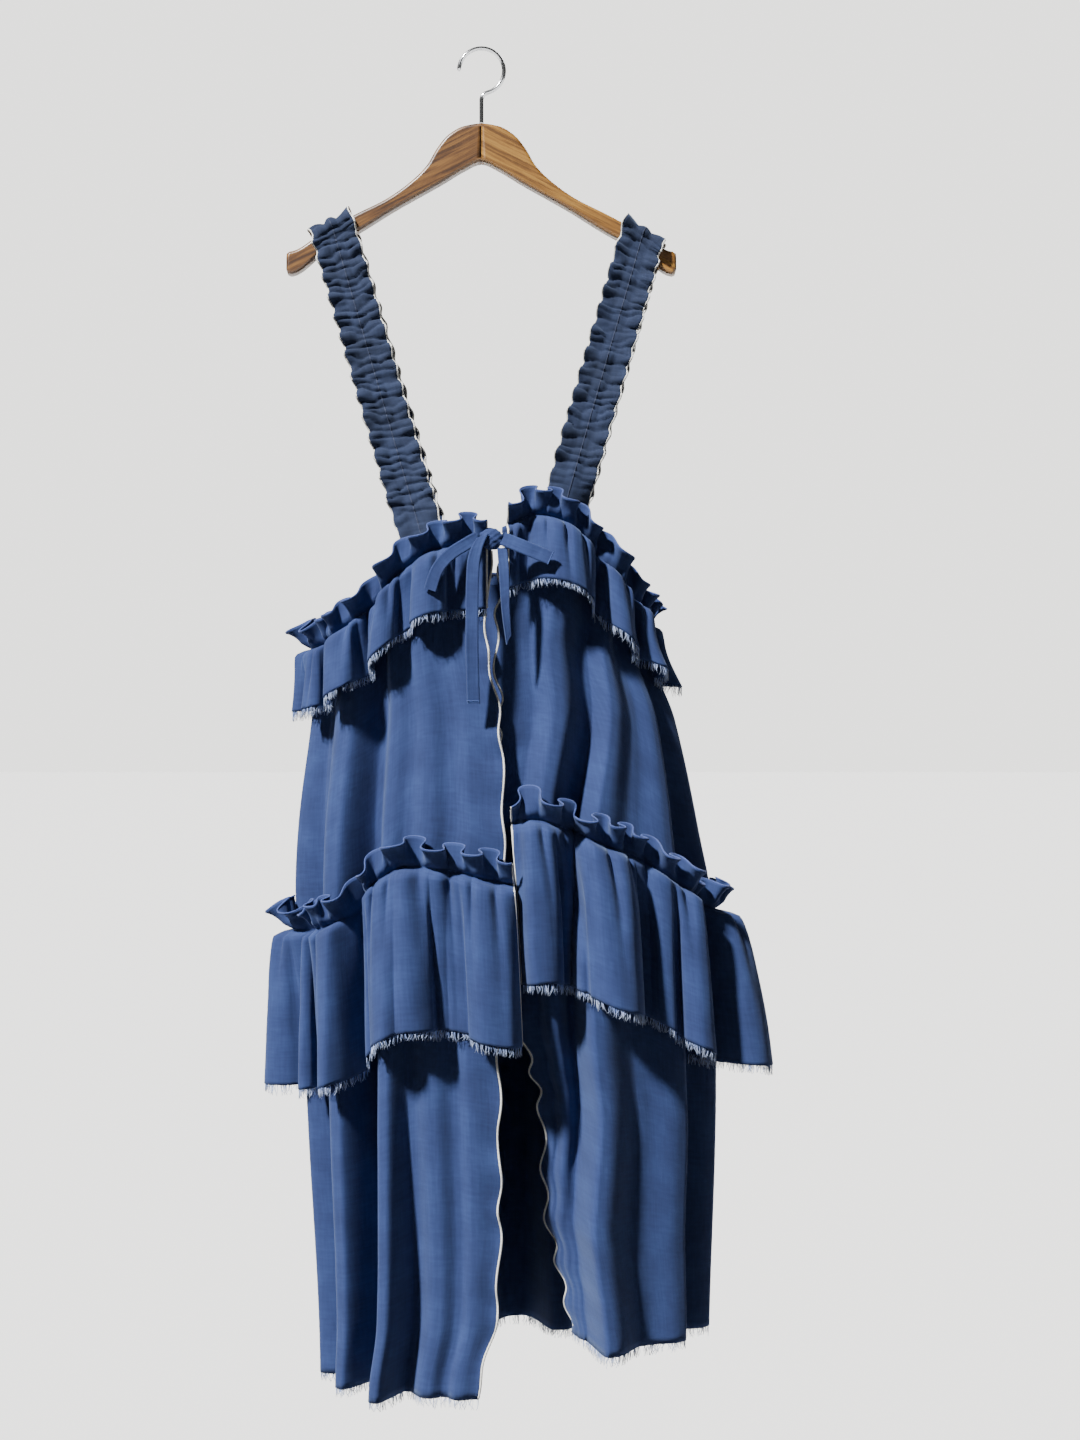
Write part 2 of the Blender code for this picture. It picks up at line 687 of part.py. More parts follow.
def make_tie(finish, parts):
    ribbon("tie_loop", (
        (-0.0005, -0.1035, -0.5120, -56.0),
        (-0.013, -0.1065, -0.5195, -54.0),
        (-0.028, -0.1100, -0.5300, -46.0),
        (-0.040, -0.1130, -0.5455, -30.0),
        (-0.046, -0.1145, -0.5640, -17.0),
    ), 0.012, finish, parts)
    ribbon("tie_long_tail", (
        (0.0045, -0.1066, -0.5110, 20.0),
        (-0.001, -0.1088, -0.5225, 10.0),
        (-0.0045, -0.1105, -0.5400, 0.0),
        (-0.0055, -0.1130, -0.5750, 0.0),
        (-0.0055, -0.1150, -0.6120, 0.0),
        (-0.004, -0.1120, -0.6740, 0.0),
    ), 0.0125, finish, parts)
    ribbon("tie_short_end", (
        (0.0241, -0.1035, -0.5130, 66.0),
        (0.045, -0.1090, -0.5220, 66.0),
        (0.071, -0.1120, -0.5330, 66.0),
    ), 0.0135, finish, parts)
    ribbon("tie_twisted_tail", (
        (0.0235, -0.1030, -0.5225, 0.0),
        (0.0255, -0.1085, -0.5480, 10.0),
        (0.0270, -0.1095, -0.5800, 35.0),
        (0.0300, -0.1060, -0.6120, 60.0),
    ), 0.0095, finish, parts)
    knot = bmesh.new()
    bmesh.ops.create_uvsphere(knot, u_segments=10, v_segments=7, radius=0.0115)
    bmesh.ops.scale(knot, vec=(1.0, 0.526, 0.95), verts=knot.verts)
    bmesh.ops.translate(knot, vec=(0.0128, -0.1007, -0.5130), verts=knot.verts)
    mesh = bpy.data.meshes.new("tie_knot")
    knot.to_mesh(mesh)
    knot.free()
    mesh.shade_smooth()
    add_object("tie_knot", mesh, finish, parts)


def main():
    for thing in list(bpy.data.objects):
        bpy.data.objects.remove(thing)
    parts = bpy.data.collections.new("camisole_dress")
    bpy.context.scene.collection.children.link(parts)
    twill = material("blue_twill", "4a6496", 0.85)
    threads = material("frayed_threads", "8ea6d6", 0.9)
    oiled_wood = material("oiled_wood", "a67a48", 0.5)
    chrome = material("chrome_wire", "d8d8d8", 0.15, 1.0)
    make_skirt(twill, threads, parts)
    make_strip("frill", FRILL, FRILL_PIECES, (-1.0, -0.5, 0.0, 0.3, 0.65, 1.0), twill, threads, parts)
    make_strip("flounce", FLOUNCE, FLOUNCE_PIECES, (-1.0, -0.5, 0.0, 0.15, 0.4, 0.7, 1.0),
               twill, threads, parts)
    for strap in STRAPS:
        make_strap(*strap, twill, parts)
    make_tie(twill, parts)
    make_hanger(oiled_wood, parts)
    make_hook(chrome, parts)


main()
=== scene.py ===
"""Looks of a blue camisole dress on a wooden hanger.

Metres, +Z up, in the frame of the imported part: the origin is where a rail bears inside
the hook, the front of the dress faces -Y, and the wearer's right is at -X.
"""

import math

import bmesh
import bpy
import numpy as np
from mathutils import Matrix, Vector


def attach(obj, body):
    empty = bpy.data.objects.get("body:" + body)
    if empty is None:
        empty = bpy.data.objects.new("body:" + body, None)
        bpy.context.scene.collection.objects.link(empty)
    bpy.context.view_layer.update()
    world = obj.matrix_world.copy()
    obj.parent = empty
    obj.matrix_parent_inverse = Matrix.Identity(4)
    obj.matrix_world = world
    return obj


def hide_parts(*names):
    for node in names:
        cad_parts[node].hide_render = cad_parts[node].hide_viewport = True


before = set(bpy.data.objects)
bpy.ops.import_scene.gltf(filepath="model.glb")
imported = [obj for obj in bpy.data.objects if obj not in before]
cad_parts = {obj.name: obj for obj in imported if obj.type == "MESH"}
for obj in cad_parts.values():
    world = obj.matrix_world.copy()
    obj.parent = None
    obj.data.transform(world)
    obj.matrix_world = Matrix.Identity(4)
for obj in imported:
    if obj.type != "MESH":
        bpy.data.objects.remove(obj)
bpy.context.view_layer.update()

TURN = 2.0 * math.pi
# Cloth as the eye sees it, a little thinner than the solids' wall.
CLOTH = 0.0011
# The solids part by this much at a seam.
SEAM_GAP = 0.0003
# A strip sewn on the skirt lies this far out from it, at its stitches and away from them.
STITCH_LIFT = 0.0014
LIFT = 0.0026
# About how far it is round the dress, which turns a turn into metres of cloth.
GIRTH = 0.95
FRONT_WIDTH = GIRTH / 4.0
# How deep the skirt's soft folds, fine ridges and slanting creases go.
SOFT_FOLD = 0.0022
FINE_RIDGE = 0.0003
CREASE = 0.0010
# A flap's side falls to its valley in this much of a turn, and the valley stands this far out.
FLAP_WALL = 0.0080
VALLEY = 0.002
# The gathering thread pinches a strip every 18 mm, and the cloth puffs out by up to 13 mm between.
PINCH_PITCH = 0.0180
PUFF = 0.0130

# The dress in plan is one oval at each height.
# Columns: height, centre across, half width, half depth.
OVALS = (
    (-1.370, 0.034, 0.190, 0.085),
    (-1.080, 0.031, 0.200, 0.090),
    (-0.880, 0.023, 0.203, 0.092),
    (-0.800, 0.017, 0.196, 0.091),
    (-0.690, 0.012, 0.180, 0.086),
    (-0.600, -0.002, 0.163, 0.082),
    (-0.450, -0.002, 0.158, 0.078),
)
# Columns: turn, height of the top line, of the flounce's stitch line, of the hem.
SEAM_LINES = (
    (-0.030, -0.516, -0.851, -1.360),
    (0.000, -0.517, -0.848, -1.360),
    (0.038, -0.522, -0.836, -1.360),
    (0.070, -0.540, -0.833, -1.360),
    (0.092, -0.561, -0.844, -1.360),
    (0.114, -0.580, -0.864, -1.360),
    (0.135, -0.595, -0.887, -1.360),
    (0.170, -0.610, -0.899, -1.360),
    (0.250, -0.617, -0.905, -1.360),
    (0.340, -0.603, -0.893, -1.352),
    (0.430, -0.560, -0.866, -1.342),
    (0.500, -0.545, -0.857, -1.336),
    (0.570, -0.547, -0.857, -1.330),
    (0.660, -0.578, -0.872, -1.320),
    (0.750, -0.592, -0.884, -1.312),
    (0.800, -0.577, -0.876, -1.312),
    (0.840, -0.552, -0.856, -1.312),
    (0.885, -0.511, -0.825, -1.312),
    (0.915, -0.492, -0.813, -1.312),
    (0.940, -0.487, -0.798, -1.312),
    (0.970, -0.497, -0.787, -1.312),
    (1.000, -0.509, -0.796, -1.312),
    (1.030, -0.512, -0.800, -1.312),
)
# The two front edges. Columns: drop, turn. The drop is 0 on the top line, 1 on the
# flounce's stitch line and 2 on the hem.
RIGHT_EDGE = (
    (0.00, -0.0145),
    (0.30, -0.008),
    (0.85, -0.007),
    (1.00, 0.000),
    (1.30, 0.007),
    (1.70, 0.010),
    (1.85, 0.0145),
    (2.00, 0.030),
)
LEFT_EDGE = (
    (0.00, 0.975),
    (0.25, 0.9785),
    (0.60, 0.991),
    (0.95, 1.003),
    (1.20, 1.000),
    (1.40, 0.989),
    (1.56, 0.9735),
    (1.75, 0.969),
    (1.85, 0.958),
    (2.00, 0.943),
)
RIGHT_SIDE = ((0.0, 0.2501), (2.0, 0.2501))
BACK_START = ((0.0, 0.2499), (2.0, 0.2499))
BACK_END = ((0.0, 0.7501), (2.0, 0.7501))
LEFT_SIDE = ((0.0, 0.7499), (2.0, 0.7499))
# The ripple of a front edge. Columns: width that ripples, pitch, depth and middle of its way
# in and out, pitch and reach in turns of its way to the side, seed.
EDGE_RIPPLES = {
    "right_front": (0.010, 0.054, 0.0016, 0.4, 0.066, 0.0016, 21),
    "left_front": (0.012, 0.047, 0.0018, -1.0, 0.050, 0.0032, 23),
}

# Skirt folds. Columns: share of the panel's width at the top, the same at the hem,
# then how far out the cloth stands at the top line, the stitch line and the hem.
RIGHT_FRONT_FOLDS = (
    (0.00, 0.00, 0.005, 0.012, -0.004),
    (0.10, 0.08, 0.006, 0.014, 0.002),
    (0.18, 0.13, 0.004, 0.009, -0.005),
    (0.26, 0.20, 0.006, 0.015, 0.002),
    (0.30, 0.31, 0.004, 0.008, -0.012),
    (0.345, 0.39, 0.006, 0.013, 0.030),
    (0.43, 0.53, -0.012, -0.028, -0.044),
    (0.58, 0.63, 0.006, 0.012, 0.014),
    (0.79, 0.84, -0.006, -0.018, -0.022),
    (1.00, 1.00, 0.005, 0.010, 0.009),
)
BACK_FOLDS = (
    (0.00, 0.00, 0.005, 0.010, 0.009),
    (0.09, 0.08, -0.006, -0.016, -0.022),
    (0.17, 0.16, 0.005, 0.012, 0.018),
    (0.25, 0.25, -0.008, -0.022, -0.030),
    (0.34, 0.33, 0.006, 0.014, 0.026),
    (0.41, 0.42, -0.005, -0.014, -0.020),
    (0.50, 0.50, 0.006, 0.013, 0.020),
    (0.58, 0.59, -0.009, -0.024, -0.036),
    (0.67, 0.68, 0.006, 0.014, 0.026),
    (0.75, 0.75, -0.005, -0.014, -0.020),
    (0.83, 0.83, 0.005, 0.012, 0.020),
    (0.92, 0.92, -0.006, -0.018, -0.026),
    (1.00, 1.00, 0.005, 0.010, 0.009),
)
LEFT_FRONT_FOLDS = (
    (0.00, 0.00, 0.005, 0.010, 0.009),
    (0.20, 0.28, -0.005, -0.013, -0.016),
    (0.30, 0.45, 0.005, 0.012, 0.012),
    (0.37, 0.68, -0.001, 0.004, 0.004),
    (0.44, 0.90, 0.006, 0.014, 0.026),
    (0.50, 0.955, -0.006, -0.018, -0.028),
    (0.70, 0.972, 0.006, 0.012, -0.034),
    (0.84, 0.985, -0.003, -0.006, -0.044),
    (1.00, 1.00, 0.000, -0.005, -0.055),
)
# Each panel: its two edges and its folds.
PANELS = {
    "right_front": (RIGHT_EDGE, RIGHT_SIDE, RIGHT_FRONT_FOLDS),
    "back": (BACK_START, BACK_END, BACK_FOLDS),
    "left_front": (LEFT_SIDE, LEFT_EDGE, LEFT_FRONT_FOLDS),
}

# The flaps of a gathered strip at its hem, with narrow valleys between them.
# Columns: turn where a flap's crown starts, where it ends, how far out it stands.
FRILL_FLAPS = (
    (-0.040, -0.008, 0.006),
    (0.034, 0.054, 0.025),
    (0.082, 0.103, 0.025),
    (0.128, 0.152, 0.026),
    (0.186, 0.206, 0.026),
    (0.238, 0.262, 0.018),
    (0.290, 0.318, 0.024),
    (0.346, 0.372, 0.024),
    (0.400, 0.428, 0.025),
    (0.456, 0.484, 0.024),
    (0.512, 0.540, 0.023),
    (0.568, 0.596, 0.025),
    (0.624, 0.652, 0.024),
    (0.680, 0.708, 0.024),
    (0.738, 0.762, 0.018),
    (0.793, 0.815, 0.026),
    (0.838, 0.858, 0.024),
    (0.884, 0.943, 0.027),
    (0.966, 0.982, 0.012),
)
FLOUNCE_FLAPS = (
    (-0.004, 0.021, 0.028),
    (0.059, 0.097, 0.033),
    (0.131, 0.151, 0.031),
    (0.184, 0.208, 0.034),
    (0.236, 0.266, 0.040),
    (0.296, 0.330, 0.037),
    (0.358, 0.392, 0.037),
    (0.420, 0.452, 0.038),
    (0.480, 0.516, 0.037),
    (0.544, 0.578, 0.038),
    (0.606, 0.640, 0.037),
    (0.668, 0.702, 0.036),
    (0.746, 0.790, 0.055),
    (0.822, 0.846, 0.030),
    (0.866, 0.873, 0.014),
    (0.899, 0.932, 0.034),
    (0.963, 0.984, 0.028),
)
# A strip: the drop of its stitch line, how far its header stands above it and its cloth falls
# below it, how far the header leans out and waves, and its flaps.
FRILL = {"name": "frill", "line": 0.0, "header": 0.029, "fall": 0.064, "lean": 0.003,
         "wave": 0.016, "flaps": FRILL_FLAPS}
FLOUNCE = {"name": "flounce", "line": 1.0, "header": 0.030, "fall": 0.157, "lean": 0.003,
           "wave": 0.017, "flaps": FLOUNCE_FLAPS}
# Columns: panel below it, first and last turn, waves in its header.
FRILL_PIECES = (
    ("right_front", -0.0097, 0.2501, 8),
    ("back", 0.2499, 0.7501, 13),
    ("left_front", 0.7499, 0.970, 7),
)
FLOUNCE_PIECES = (
    ("right_front", -0.0105, 0.2501, 9),
    ("back", 0.2499, 0.7501, 16),
    ("left_front", 0.7499, 0.987, 9),
)

STRAP_WIDTH = 0.043
STRAP_PITCH = 0.0227
STRAP_TUCK = 0.014
# Shirring puckers lie 9 mm apart and stand up to 6.6 mm out, and the ruffled edges 7.8 mm more.
PUCKER_PITCH = 0.0090
PUCKER = 0.0066
RUFFLE = 0.0078
# Columns: side, where its middle crosses the hanger, where it meets the top line, its turn
# at the front and at the back.
STRAPS = (
    ("right", -0.153, -0.051, 0.052, 0.448),
    ("left", 0.166, 0.082, 0.932, 0.568),
)

HANGER_THICK = 0.016
# Columns: across, height. The top edge, the end of the arm and the underside.
HANGER_TOP = (
    (0.00015, -0.0767),
    (0.018, -0.0795),
    (0.034, -0.0885),
    (0.046, -0.1030),
    (0.056, -0.1200),
    (0.075, -0.1385),
    (0.098, -0.1545),
    (0.127, -0.1690),
    (0.160, -0.1865),
    (0.1985, -0.2085),
)
HANGER_END = (
    (0.2000, -0.2105),
    (0.2004, -0.2150),
    (0.2004, -0.2265),
    (0.1990, -0.2310),
    (0.1965, -0.2320),
)
HANGER_UNDERSIDE = (
    (0.00015, -0.1165),
    (0.018, -0.1240),
    (0.0396, -0.1370),
    (0.090, -0.1655),
    (0.123, -0.1860),
    (0.160, -0.2070),
    (0.1965, -0.2320),
)
HOOK_WIRE = 0.0021
HOOK_RADIUS = 0.0232
HOOK_BEND = 0.0081
HOOK_SWEEP = math.radians(75.0)


# Shapes.


def ease(u):
    """Goes from 0 to 1 with a level start and end, as a fold does from valley to ridge."""
    u = np.clip(u, 0.0, 1.0)
    return u * u * (3.0 - 2.0 * u)


def curve_through(rows, column, x):
    """A table's column at x, on a smooth curve that never passes beyond its rows."""
    xs = np.array([row[0] for row in rows])
    ys = np.array([row[column] for row in rows])
    steps = np.diff(xs)
    slopes = np.diff(ys) / steps
    tangents = np.zeros(len(xs))
    before, after = slopes[:-1], slopes[1:]
    same = before * after > 0.0
    tangents[1:-1][same] = 2.0 * before[same] * after[same] / (before[same] + after[same])
    i = np.clip(np.searchsorted(xs, x, side="right") - 1, 0, len(steps) - 1)
    u = np.clip((x - xs[i]) / steps[i], 0.0, 1.0)
    first = (1.0 + 2.0 * u) * (1.0 - u) ** 2 * ys[i] + u * u * (3.0 - 2.0 * u) * ys[i + 1]
    second = u * (1.0 - u) ** 2 * tangents[i] - u * u * (1.0 - u) * tangents[i + 1]
    return first + second * steps[i]


def crumple(u, v, seed):
    """A smooth field from -1 to 1 with a bump for about each unit of u and v.

    It is a table of random values, eased between its cells and repeated past its edge.
    """
    cells = 61
    table = np.random.default_rng(seed).uniform(-1.0, 1.0, (cells, cells))
    u, v = u + 0.0 * v, v + 0.0 * u
    i, j = np.floor(u).astype(int), np.floor(v).astype(int)
    along, down = ease(u - i), ease(v - j)
    i, j, k, m = i % cells, j % cells, (i + 1) % cells, (j + 1) % cells
    low = table[i, j] + (table[k, j] - table[i, j]) * along
    high = table[i, m] + (table[k, m] - table[i, m]) * along
    return low + (high - low) * down


def bumps(u, v, seed):
    """The same field from 0 to 1."""
    return 0.5 + 0.5 * crumple(u, v, seed)


def uneven_wave(height, pitch, wander, cell, seed):
    """A wave for each pitch of height, which comes early or late by its wander."""
    return np.sin(TURN * height / pitch + wander * crumple(height / cell, 0.5, seed))


def around(turn, height, out):
    """The point at a turn and a height, moved out from the oval along its normal."""
    centre, width, depth = (curve_through(OVALS, k, height) for k in (1, 2, 3))
    sine, cosine = np.sin(TURN * turn), np.cos(TURN * turn)
    normal_x, normal_y = -sine / width, -cosine / depth
    size = np.hypot(normal_x, normal_y)
    x = centre - width * sine + out * normal_x / size
    y = -depth * cosine + out * normal_y / size
    return np.stack([x, y, height + 0.0 * x], axis=-1)


def height_at(turn, drop):
    """The height at a drop, from the three seam lines."""
    top, stitch, hem = (curve_through(SEAM_LINES, k, turn) for k in (1, 2, 3))
    below = stitch + (drop - 1.0) * (hem - stitch)
    return np.where(drop < 1.0, top + drop * (stitch - top), below)


def drop_at(turn, height):
    """The drop at a height, the other way round."""
    top, stitch, hem = (curve_through(SEAM_LINES, k, turn) for k in (1, 2, 3))
    above = (height - top) / (stitch - top)
    return np.where(height > stitch, above, 1.0 + (height - stitch) / (hem - stitch))


def edges_at(panel, drop):
    """The turns of a panel's two edges."""
    return [curve_through(edge, 1, drop) for edge in PANELS[panel][:2]]


def skirt_out(panel, share, drop):
    """How far out the skirt stands, worked out from its panel's fold table."""
    drop = np.clip(drop, 0.0, 2.0)
    out, place_before, depth_before = 0.0, None, None
    for top_place, hem_place, top, stitch, hem in PANELS[panel][2]:
        place = top_place + (hem_place - top_place) * drop / 2.0
        depth = curve_through(((0.0, top), (1.0, stitch), (2.0, hem)), 1, drop)
        if place_before is None:
            out = depth
        else:
            u = (share - place_before) / (place - place_before)
            out = out + (depth - depth_before) * ease((u - 0.10) / 0.80)
        place_before, depth_before = place, depth
    return out


def cover_out(panel, turn, drop, reach=0.009):
    """The furthest that the skirt stands out close to a turn, which a strip on it clears."""
    first, last = edges_at(panel, drop)
    furthest = None
    for step in np.linspace(-reach, reach, 5):
        share = np.clip((turn + step - first) / (last - first), 0.0, 1.0)
        out = skirt_out(panel, share, drop)
        furthest = out if furthest is None else np.maximum(furthest, out)
    return furthest


def flap_out(flaps, turn):
    """How far out a strip's hem stands at a turn: low in its valleys, round on its flaps."""
    out = 0.0 * turn
    for first, last, depth in flaps:
        half = (last - first) / 2.0 + FLAP_WALL
        place = np.clip(np.abs(turn - (first + last) / 2.0) / half, 0.0, 1.0)
        out = np.maximum(out, (depth - VALLEY) * (1.0 - place ** 2.8) ** 0.85)
    return VALLEY + out


def skirt_point(panel, share, drop):
    """The skirt with its soft folds, creases and the ripple of its front edges."""
    first, last = edges_at(panel, drop)
    turn = first + share * (last - first)
    height = height_at(turn, drop)
    around_m = turn * GIRTH
    edge_room = ease(np.minimum(share, 1.0 - share) / 0.07)
    visible = ease((drop - 0.05) / 0.15)
    soft = bumps(around_m / 0.042 + 0.35 * np.sin(2.2 * drop), 1.1 * drop, 11)
    ridged = bumps(around_m / 0.014 + 0.5 * drop, 2.4 * drop, 12)
    slanting = bumps(around_m / 0.026 + height / 0.11, height / 0.09, 13)
    hollow = SOFT_FOLD * soft + FINE_RIDGE * ridged + CREASE * slanting
    out = skirt_out(panel, share, drop) - edge_room * visible * hollow
    if panel in EDGE_RIPPLES:
        width, pitch, depth, middle, side_pitch, side, seed = EDGE_RIPPLES[panel]
        from_edge = share if panel == "right_front" else 1.0 - share
        edge = np.exp(-from_edge * FRONT_WIDTH / width) * ease(drop / 0.1)
        out = out + depth * edge * (middle + uneven_wave(height, pitch, 2.6, 0.05, seed))
        turn = turn + side * edge * uneven_wave(height, side_pitch, 3.0, 0.06, seed + 1)
    return around(turn, height, out)


def strip_point(strip, piece, share, fall):
    """A gathered strip: fall is -1 on its header's edge, 0 on its stitches, 1 at its hem."""
    panel, first, last, waves = piece
    turn = first + share * (last - first) + 0.0 * fall
    phase = TURN * (waves * share + 0.34 * crumple(share * waves * 0.8 + 2.0, 0.5, 35))
    swell = 0.5 + 0.5 * np.cos(phase)
    size = 0.85 + 0.35 * crumple(share * waves * 0.7, 0.5, 36)
    up = np.clip(-fall, 0.0, 1.0)
    down = np.maximum(fall, 0.0)
    ends = ease(np.minimum(share, 1.0 - share) / 0.04)
    around_m = turn * GIRTH
    uneven = crumple(share * waves * 1.3, 0.5, 31)
    seam = height_at(turn, 0.0 * turn + strip["line"])
    header = strip["header"] * up * (1.0 - 0.42 * swell * size * up + 0.14 * uneven * ends)
    height = seam + header - strip["fall"] * down
    out = cover_out(panel, turn, np.clip(drop_at(turn, height), 0.0, 2.0))
    out = out + STITCH_LIFT + (LIFT - STITCH_LIFT) * np.minimum(1.0, 4.0 * abs(fall))
    curl = 1.25 * strip["wave"] * size * swell * (1.0 + 0.25 * uneven)
    out = out + up ** 1.1 * (strip["lean"] + curl)
    # The hem's own flaps, broad on their ridges and narrow in their valleys.
    flaps = flap_out(strip["flaps"], turn)
    out = out + down ** 0.40 * flaps
    out = out + 0.0015 * swell * np.clip(1.0 - down, 0.0, 1.0)
    # Pinches where the thread gathers the cloth. They die out away from the stitches.
    away = abs(fall) * np.where(fall < 0.0, strip["header"], strip["fall"])
    wander = 4.0 * crumple(around_m / 0.038, 0.5, 32)
    pinch = 0.5 + 0.5 * np.cos(TURN * around_m / PINCH_PITCH + wander)
    reach = 0.010 + strip["fall"] * (0.10 + 0.21 * bumps(around_m / 0.020, 0.5, 33))
    notch = pinch ** 3.0 * (0.50 + 0.50 * bumps(around_m / 0.017 + 5.0, 0.5, 37))
    fan = np.where(fall < 0.0, 0.5, 1.0)
    out = out + PUFF * fan * (1.0 - notch) * ease(away / 0.008) * np.exp(-away / reach)
    # Loose creases lower down.
    creases = bumps(around_m / 0.017 + height / 0.08, height / 0.040, 34)
    out = out + 0.0016 * creases * ease(down / 0.3) * ends
    # The ruffle's curves bulge over their own valleys.
    pitch = (last - first) / waves
    turn = turn + 0.14 * pitch * up ** 1.3 * np.sin(2.0 * phase) * ends
    step = 0.002
    rise = flap_out(strip["flaps"], turn + step) - flap_out(strip["flaps"], turn - step)
    slope = rise / (2.0 * step * GIRTH)
    bulge = np.clip((flaps - 0.012) * slope, -0.008, 0.008)
    turn = turn - 0.18 * bulge * ease(down / 0.5) * ends / GIRTH
    return around(turn, height, out)


def link(name, mesh, finish, replaced=()):
    """Puts a piece in the scene with its material, riding on the one body."""
    piece = bpy.data.objects.new(name, mesh)
    mesh.materials.append(finish)
    bpy.context.scene.collection.objects.link(piece)
    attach(piece, "root")
    if replaced:
        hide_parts(*replaced)
    return piece


def mesh_of(name, points, faces, uv):
    """A smooth mesh with a UV for each point."""
    mesh = bpy.data.meshes.new(name)
    mesh.from_pydata(points.tolist(), [], faces)
    layer = mesh.uv_layers.new(name="cut")
    corners = np.zeros(len(mesh.loops), dtype=np.int64)
    mesh.loops.foreach_get("vertex_index", corners)
    layer.data.foreach_set("uv", uv[corners].astype(np.float32).ravel())
    mesh.shade_smooth()
    return mesh


def cloth(name, points, finish, replaced=(), wall=CLOTH):
    """Cloth with a wall, through rows of points. Its UVs are metres of the flat cloth."""
    rows, columns = points.shape[:2]
    across = np.linalg.norm(np.diff(points, axis=1), axis=2).mean(axis=0)
    down = np.linalg.norm(np.diff(points, axis=0), axis=2).mean(axis=1)
    u = np.concatenate([[0.0], np.cumsum(across)])
    v = -np.concatenate([[0.0], np.cumsum(down)])
    uv = np.stack(np.broadcast_arrays(u[None, :], v[:, None]), axis=-1).reshape(-1, 2)
    r, c = np.meshgrid(np.arange(rows - 1), np.arange(columns - 1), indexing="ij")
    corner = (r * columns + c).ravel()
    faces = np.stack([corner, corner + 1, corner + columns + 1, corner + columns], axis=1)
    mesh = mesh_of(name, points.reshape(-1, 3), faces.tolist(), uv)
    piece = link(name, mesh, finish, replaced)
    shell = piece.modifiers.new("wall", "SOLIDIFY")
    shell.thickness = wall
    shell.offset = 1.0
    return piece


def threads(name, paths, radii, finish, replaced=(), sides=4, shades=None):
    """Round threads or wires along paths. Their UVs are each one's shade and the way along.

    The way along is in metres, or with shades from 0 at a thread's root to 1 at its tip.
    """
    count, rings = paths.shape[:2]
    tangent = np.gradient(paths, axis=1)
    tangent /= np.maximum(np.linalg.norm(tangent, axis=2, keepdims=True), 1e-9)
    flat = np.abs(tangent[..., 1:2]) > 0.9
    first = np.cross(tangent, np.where(flat, [1.0, 0.0, 0.0], [0.0, 1.0, 0.0]))
    first /= np.maximum(np.linalg.norm(first, axis=2, keepdims=True), 1e-9)
    second = np.cross(tangent, first)
    angles = TURN * np.arange(sides) / sides
    spokes = (first[:, :, None] * np.cos(angles)[:, None] + second[:, :, None] * np.sin(angles)[:, None])
    points = paths[:, :, None] + spokes * np.broadcast_to(radii, (count, rings))[:, :, None, None]
    base = np.arange(count)[:, None, None] * rings * sides
    ring = np.arange(rings - 1)[None, :, None] * sides
    side = np.arange(sides)[None, None, :]
    a = base + ring + side
    b = base + ring + (side + 1) % sides
    faces = np.stack([a, b, b + sides, a + sides], axis=-1).reshape(-1, 4).tolist()
    for i in range(count):
        start, end = i * rings * sides, (i * rings + rings - 1) * sides
        faces.append([start + s for s in reversed(range(sides))])
        faces.append([end + s for s in range(sides)])
    lengths = np.linalg.norm(np.diff(paths, axis=1), axis=2)
    along = np.concatenate([np.zeros((count, 1)), np.cumsum(lengths, axis=1)], axis=1)
    if shades is not None:
        along = along / along[:, -1:]
    shade = np.zeros(count) if shades is None else shades
    uv = np.stack(np.broadcast_arrays(shade[:, None, None], along[:, :, None] + 0.0 * angles),
                  axis=-1)
    mesh = mesh_of(name, points.reshape(-1, 3), faces, uv.reshape(-1, 2))
    return link(name, mesh, finish, replaced)


def way_along(path):
    """How far along a path each of its points is."""
    return np.concatenate([[0.0], np.cumsum(np.linalg.norm(np.diff(path, axis=0), axis=1))])


def resample(path, step):
    """The same path with points a step apart."""
    lengths = way_along(path)
    places = np.linspace(0.0, lengths[-1], max(3, int(lengths[-1] / step) + 1))
    return np.stack([np.interp(places, lengths, path[:, k]) for k in range(3)], axis=1)


# Materials.


def srgb(colour):
    """A hex sRGB colour as linear values."""
    parts = [int(colour[i:i + 2], 16) / 255.0 for i in (0, 2, 4)]
    return (*[c / 12.92 if c <= 0.04045 else ((c + 0.055) / 1.055) ** 2.4 for c in parts], 1.0)


def add_node(tree, kind, sockets=(), stops=(), **settings):
    """Adds a node. Each socket row is its name or number, and a value or what feeds it.

    Stops are the places and hex colours of a colour ramp.
    """
    made = tree.nodes.new("ShaderNode" + kind)
    for key, value in settings.items():
        setattr(made, key, value)
    for name, value in sockets:
        if isinstance(value, bpy.types.NodeSocket):
            tree.links.new(value, made.inputs[name])
        else:
            made.inputs[name].default_value = value
    if stops:
        elements = made.color_ramp.elements
        while len(elements) < len(stops):
            elements.new(0.5)
        for element, (place, colour) in zip(elements, stops):
            element.position = place
            element.color = srgb(colour)
    return made


def waves_each(pitch):
    """The scale at which a wave texture has a band for each pitch in metres."""
    return TURN / (20.0 * pitch)


def blank(name):
    """A material with only its shader, and the tree and shader to work on."""
    finish = bpy.data.materials.new(name)
    finish.use_nodes = True
    return finish, finish.node_tree, finish.node_tree.nodes["Principled BSDF"]


# The rib of the weave, twice as coarse as the real one so that it shows.
RIB = 0.0009


